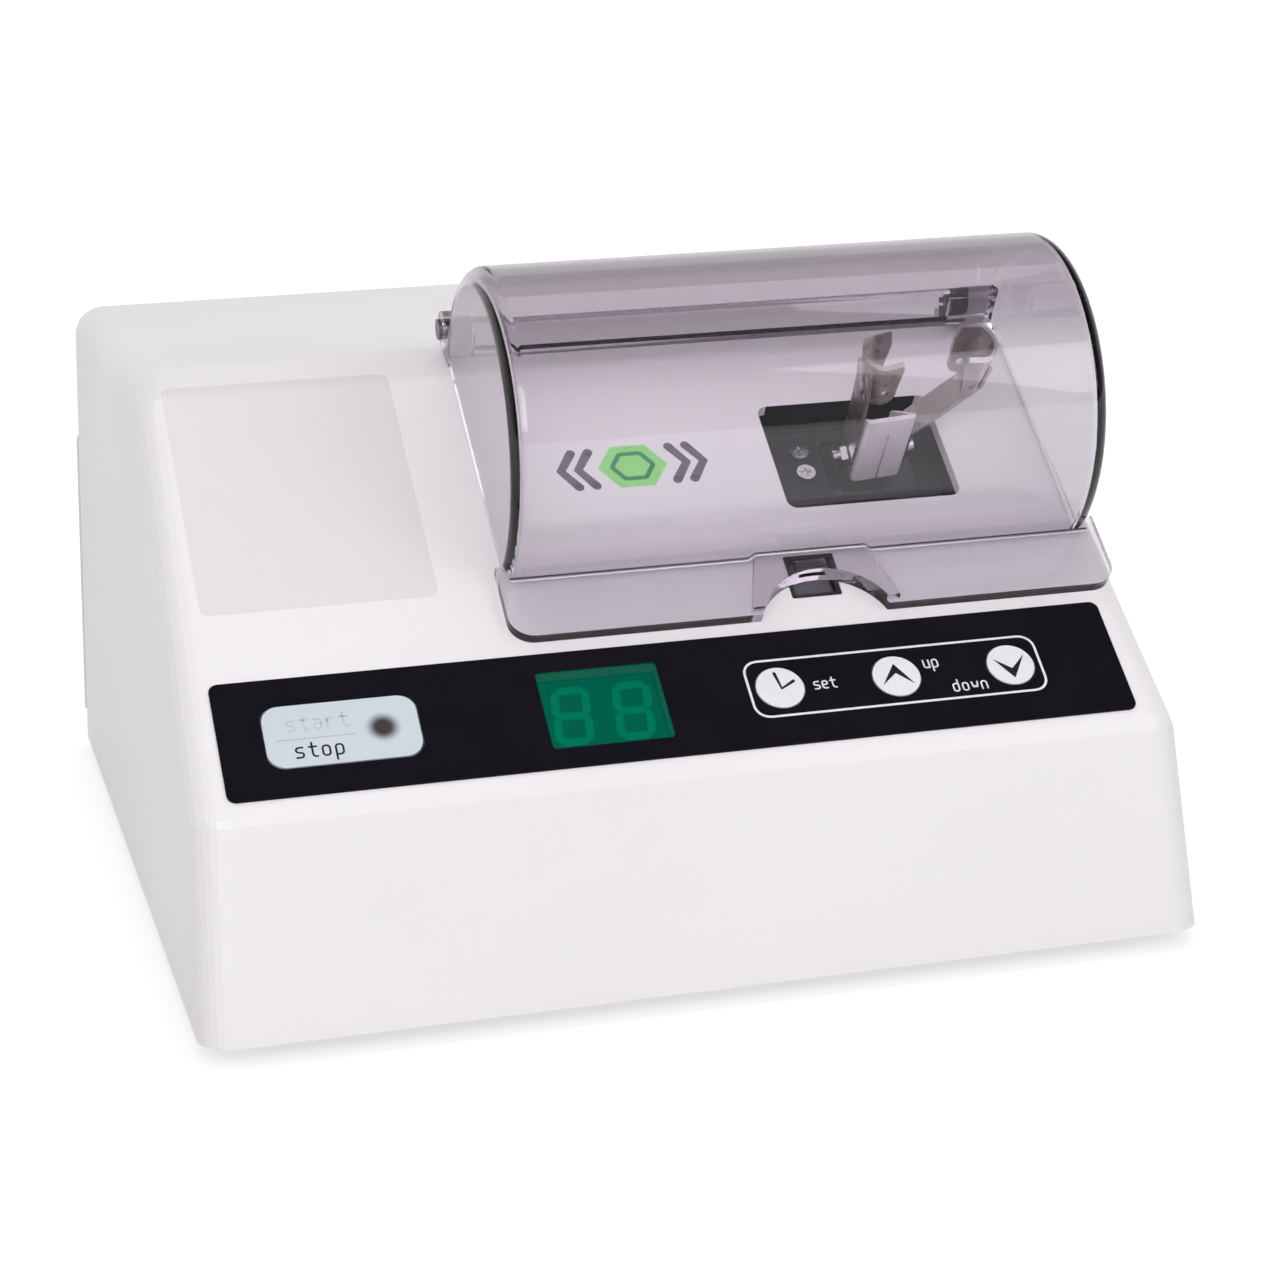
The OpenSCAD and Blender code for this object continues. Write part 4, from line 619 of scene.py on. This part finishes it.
start_word = word("start", -85.4, 19.8, PAD_HIGH, PAD_PITCH)
print_strokes("stop_print", stop_word, PAD_LINE, PAD_CORNER, FILM_TOP, ink_black, "start_stop_key")
print_strokes("start_print", start_word, PAD_LINE, PAD_CORNER, FILM_TOP, ink_faint, "start_stop_key")
divider = [(-88.0, 17.6), (-72.0, 17.6)]
print_strokes("divider_print", [divider], 0.25, 0, FILM_TOP, ink_grey, "start_stop_key")
clock_hands = [(20.0, 22.3), (20.7, 18.2), (23.7, 19.9)]
print_strokes("clock_print", [clock_hands], 0.75, 0, FILM_TOP, ink_black, "set_key")
up_sign = [(43.2, 16.4), (46.9, 21.8), (50.4, 16.0), (46.8, 19.3)]
down_sign = [(69.6, 20.4), (73.2, 14.9), (76.9, 20.9), (73.3, 17.5)]
print_patch("up_print", [up_sign], FILM_TOP, ink_black, "up_key")
print_patch("down_print", [down_sign], FILM_TOP, ink_black, "down_key")

# Sign beside the opening
#
# A printed sticker on the slope under the cover: a green hexagon with a darker ring, held between
# dark chevrons.
SIGN_X, SIGN_S, STRETCH = 2.5, 84.0, 1.15
HEXAGON_R, RING_R = 7.0, 4.2
CHEVRON_TIPS, CHEVRON_LONG, CHEVRON_HALF = (12.6, 16.6), 3.2, 5.0


def hexagon(r):
    """Corners of the sign's hexagon of radius r, a little wider than high."""
    steps = [math.radians(60 * i) for i in range(6)]
    return [(SIGN_X + STRETCH * r * math.cos(a), SIGN_S + r * math.sin(a)) for a in steps]


def chevron(side, tip):
    """Strokes of a chevron whose point lies tip to the left or right of the sign's middle."""
    back = SIGN_X + side * (tip - CHEVRON_LONG)
    return [(back, SIGN_S + CHEVRON_HALF), (SIGN_X + side * tip, SIGN_S), (back, SIGN_S - CHEVRON_HALF)]


ink_green = finish("ink_green", (0.30, 0.76, 0.23), 0.4, 0.08, 0.004, 0.1, 0.0003)
ink_leaf = finish("ink_leaf", (0.0, 0.29, 0.09), 0.4, 0.08, 0.004, 0.1, 0.0003)
ink_dark = finish("ink_dark", (0.13, 0.115, 0.155), 0.4, 0.1, 0.004, 0.1, 0.0003)
print_patch("sign_hexagon", [hexagon(HEXAGON_R)], 0.0, ink_green, "base")
print_strokes("sign_ring", [hexagon(RING_R)], 1.1, 0.8, INK_T, ink_leaf, "base",
              closed=True)
chevrons = [chevron(side, tip) for side in (-1, 1) for tip in CHEVRON_TIPS]
print_strokes("sign_chevrons", chevrons, 2.2, 0, 0.0, ink_dark, "base")

# Cover
#
# Clear acrylic with a smoky lilac tint, glossy on both faces and flame-polished at the edges, which
# look dark where one sees along the sheet. Along the tight bend from the dome to the flange a bead
# of painted shade lies with a bead of painted highlight below it, and the crown is painted darker as shade.
TINT, TINT_DENSITY, LAMP_TINT = (0.50, 0.455, 0.52), 160.0, (0.78, 0.765, 0.79)
CROWN_PAINTED_SHADE, CROWN_Z = (0.81, 0.78, 0.805), (0.122, 0.142)
acrylic = finish("smoky_acrylic", (0.98, 0.975, 0.98), 0.02, 0.004, 0.08, 0.0, 0.004, Transmission_Weight=1.0,
                 IOR=1.45)
tree = acrylic.node_tree
clear = node(tree, "ShaderNodeBsdfTransparent", ("Color", (*LAMP_TINT, 1)))
lamp_ray = node(tree, "ShaderNodeLightPath").outputs["Is Shadow Ray"]
passed = node(tree, "ShaderNodeMixShader", (0, lamp_ray), (1, tree.nodes["Principled BSDF"].outputs[0]),
              (2, clear.outputs[0]))
output = tree.nodes["Material Output"]
tree.links.new(passed.outputs[0], output.inputs["Surface"])
depth = node(tree, "ShaderNodeVolumeAbsorption", ("Color", (*TINT, 1)), ("Density", TINT_DENSITY))
tree.links.new(depth.outputs[0], output.inputs["Volume"])
dress(acrylic, "cover")
# Painted shade: the acrylic's colour turns darker towards the crown.
tinge(acrylic, "DOT_PRODUCT", UP, *CROWN_Z, CROWN_PAINTED_SHADE)
CREASE_S, CREASE_H, DOME_X0, DOME_X1 = 52.4, 2.95, -32.4, 101.6
SLOT_X, LIP_HALF, LIP_RISE, LIP_RAMP = 35.4, 12.6, 1.6, 1.6


def bead(name, shift, r, material, sides=8):
    """A thin bead along the bend between dome and flange, over the raised lip behind the notch; its finish
    paints a line of light and shade on the bend.
    """
    path = [(DOME_X0, 0), (SLOT_X - LIP_HALF - LIP_RAMP, 0), (SLOT_X - LIP_HALF, LIP_RISE),
            (SLOT_X + LIP_HALF, LIP_RISE), (SLOT_X + LIP_HALF + LIP_RAMP, 0), (DOME_X1, 0)]
    turns = [math.radians(360 * k / sides) for k in range(sides)]
    verts = [slope(x, CREASE_S + shift + r * math.cos(a), CREASE_H + rise + r * math.sin(a))
             for x, rise in path for a in turns]
    faces = []
    for i in range(len(path) - 1):
        near, far = i * sides, (i + 1) * sides
        faces += [[near + k, near + (k + 1) % sides, far + (k + 1) % sides, far + k] for k in range(sides)]
    faces += [list(range(sides)), list(range(len(verts) - sides, len(verts)))]
    return settle(put(name, verts, faces), material, "cover", smooth=True)


crease_painted_shade = finish("crease_painted_shade", (0.07, 0.055, 0.085), 0.2, 0.1, 0.01, 0.05, 0.0004)
# Painted shade: a dark bead standing in for the dark refraction along the bend.
bead("crease_shade", 0.0, 0.22, crease_painted_shade)
crease_painted_highlight = finish("crease_painted_highlight", (0.86, 0.83, 0.88), 0.2, 0.05, 0.01, 0.05, 0.0004)
# Painted highlight: a pale bead below it standing in for the light the bend catches.
bead("crease_glint", -0.75, 0.16, crease_painted_highlight)

# Hinge
#
# Two white moulded lugs screwed on the top face hold the cover's pins. A slotted clip of dark
# acetal grips the right pin, so that the cover stays where it is left.
# Painted highlight: the lugs' edges are painted a lighter white.
dress(finish("lug_white", (0.82, 0.80, 0.83), 0.36, 0.02, 0.01, 0.1, 0.0005, wear_and_sheen=(0.87, 0.86, 0.88)),
      "hinge_lugs")
dress(finish("clip_dark", (0.035, 0.028, 0.045), 0.42, 0.1, 0.004, 0.2, 0.0004), "friction_clip")
dress(finish("pin_dark", (0.16, 0.14, 0.17), 0.35, 0.1, 0.004, 0.2, 0.0003, metal=0.6), "hinge_pins")

# Catch
#
# A lining in the slot under the finger notch, painted black as the shade on the slot's walls, with
# the sprung grey plunger that works the cover switch behind it.
black = finish("black_moulding", (0.020, 0.019, 0.024), 0.45, 0.12, 0.006, 0.3, 0.0004,
               wear_and_sheen=(0.06, 0.06, 0.065))
# Painted shade: the catch lining is black for the shade in the slot; the other pieces are black mouldings.
dress(black, "catch_lining", "cover_switch", "key_switches", "controller_chip", "motor_fan", "mains_inlet",
      "fuse_drawer", "switch_frame", "power_parts")
dress(finish("plunger_grey", (0.10, 0.095, 0.11), 0.4, 0.1, 0.004, 0.2, 0.0004), "catch_plunger")

# Splash guard
#
# A dark grey tray moulded under the opening keeps drips out of the machine. Its rear wall is painted
# black as shade, and so is a thin strip on the cut edge of the opening. The arm comes up through the
# slot in its floor.
guard_dark = finish("guard_dark", (0.040, 0.034, 0.043), 0.45, 0.12, 0.008, 0.3, 0.0005,
                    wear_and_sheen=(0.07, 0.065, 0.08), Specular_IOR_Level=0.08)
dress(guard_dark, "splash_guard")
WELL_REAR, WELL_X0, WELL_X1, WALL = 98.8, 37.8, 74.2, 3.0
WALL_PLAY, LIP_T, LIP_SUNK, BLUR = 0.2, 0.1, 0.05, 0.0001
# Painted shade: from the rear wall's inner face uphill, the tray is painted black.
uphill = (SLOPE.to_3x3() @ Vector((0, 1, 0))).normalized()
edge = uphill.dot(nodes["splash_guard"].matrix_world.inverted() @ slope(0, WELL_REAR + WALL_PLAY, 0))
tinge(guard_dark, "DOT_PRODUCT", uphill, edge - BLUR, edge + BLUR, (0.004, 0.004, 0.005))
# Painted shade: a thin black strip laid on the cut edge of the opening.
lip = [slope(x, s, h) for x in (WELL_X0, WELL_X1) for s in (WELL_REAR - LIP_T, WELL_REAR)
       for h in (-WALL, -LIP_SUNK)]
box_faces = [(0, 1, 3, 2), (4, 6, 7, 5), (0, 4, 5, 1), (2, 3, 7, 6), (0, 2, 6, 4), (1, 5, 7, 3)]
lip_painted_shade = finish("lip_painted_shade", (0.005, 0.005, 0.006), 0.5, 0.1, 0.004, 0.2, 0.0004, Specular_IOR_Level=0.1)
settle(put("guard_lip_painted_shade", lip, box_faces), lip_painted_shade, "base")

# Fork
#
# The folded clip on the arm's end is satin sheet steel. The spring prongs riveted beside it are
# tempered strip, brown from the heat at the roots and bright where capsules rub the claws.
dress(finish("clip_grey", (0.84, 0.78, 0.86), 0.42, 0.08, 0.006, 0.25, 0.0003, metal=0.1, stretch=(1, 1, 6),
             wear_and_sheen=(0.8, 0.8, 0.82)), "fork_clip")
dress(finish("bronze_steel", (0.42, 0.37, 0.37), 0.28, 0.25, 0.005, 0.25, 0.0003, metal=0.9,
             stretch=(1, 1, 5), wear_and_sheen=(0.7, 0.68, 0.66), wear_and_sheen_width=0.0004), "left_prong")
dress(finish("rubbed_steel", (0.50, 0.465, 0.46), 0.24, 0.22, 0.006, 0.25, 0.0003, metal=0.9,
             stretch=(1, 1, 5), wear_and_sheen=(0.82, 0.80, 0.79), wear_and_sheen_width=0.0004), "right_prong")

# Drive
#
# A shaded motor on rubber mounts turns an oblique hub. The arm rides on the hub's bearing and a tail
# pin in the nylon guide keeps it from turning, so that the fork swings in a figure of eight.
dress(finish("motor_grey", (0.14, 0.145, 0.15), 0.4, 0.08, 0.03, 0.35, 0.001, wear_and_sheen=(0.4, 0.4, 0.41)),
      "motor_can")
dress(finish("cast_alloy", (0.52, 0.53, 0.54), 0.42, 0.10, 0.01, 0.6, 0.0009, metal=1.0,
             wear_and_sheen=(0.7, 0.7, 0.71)), "motor_end_bell", "oblique_hub", "shaker_arm")
dress(finish("laminations", (0.12, 0.11, 0.105), 0.5, 0.25, 0.004, 0.9, 0.0005, metal=0.6,
             stretch=(8, 0.2, 0.2)), "rotor_core", "stator", "transformer_core")
dress(finish("bracket_steel", (0.55, 0.56, 0.57), 0.34, 0.10, 0.012, 0.25, 0.0006, metal=1.0,
             wear_and_sheen=(0.72, 0.72, 0.73)), "motor_bracket")
dress(finish("nylon", (0.66, 0.63, 0.55), 0.45, 0.04, 0.01, 0.15, 0.0006), "tail_guide")

# Power supply and rear fittings
#
# The mains inlet with its fuse drawer and the rocker switch snap into the rear panel. Behind them
# stand the transformer and the power board.
dress(finish("board_green", (0.015, 0.10, 0.035), 0.32, 0.15, 0.004, 0.2, 0.0004),
      "control_board", "power_board")
dress(finish("brass", (0.70, 0.50, 0.20), 0.25, 0.1, 0.004, 0.1, 0.0003, metal=1.0), "inlet_pins")
dress(finish("rocker_red", (0.36, 0.02, 0.018), 0.22, 0.05, 0.006, 0.05, 0.0005), "power_rocker")
dress(finish("glass_tube", (0.80, 0.84, 0.88), 0.06, 0.02, 0.004, 0.02, 0.0005, Alpha=0.55), "fuse")
dress(finish("coil_amber", (0.34, 0.16, 0.03), 0.3, 0.2, 0.004, 0.8, 0.0006, stretch=(1, 0.2, 3)),
      "transformer_coil")
dress(finish("lens", (0.70, 0.66, 0.60), 0.3, 0.03, 0.002, 0.1, 0.0003), "status_light")
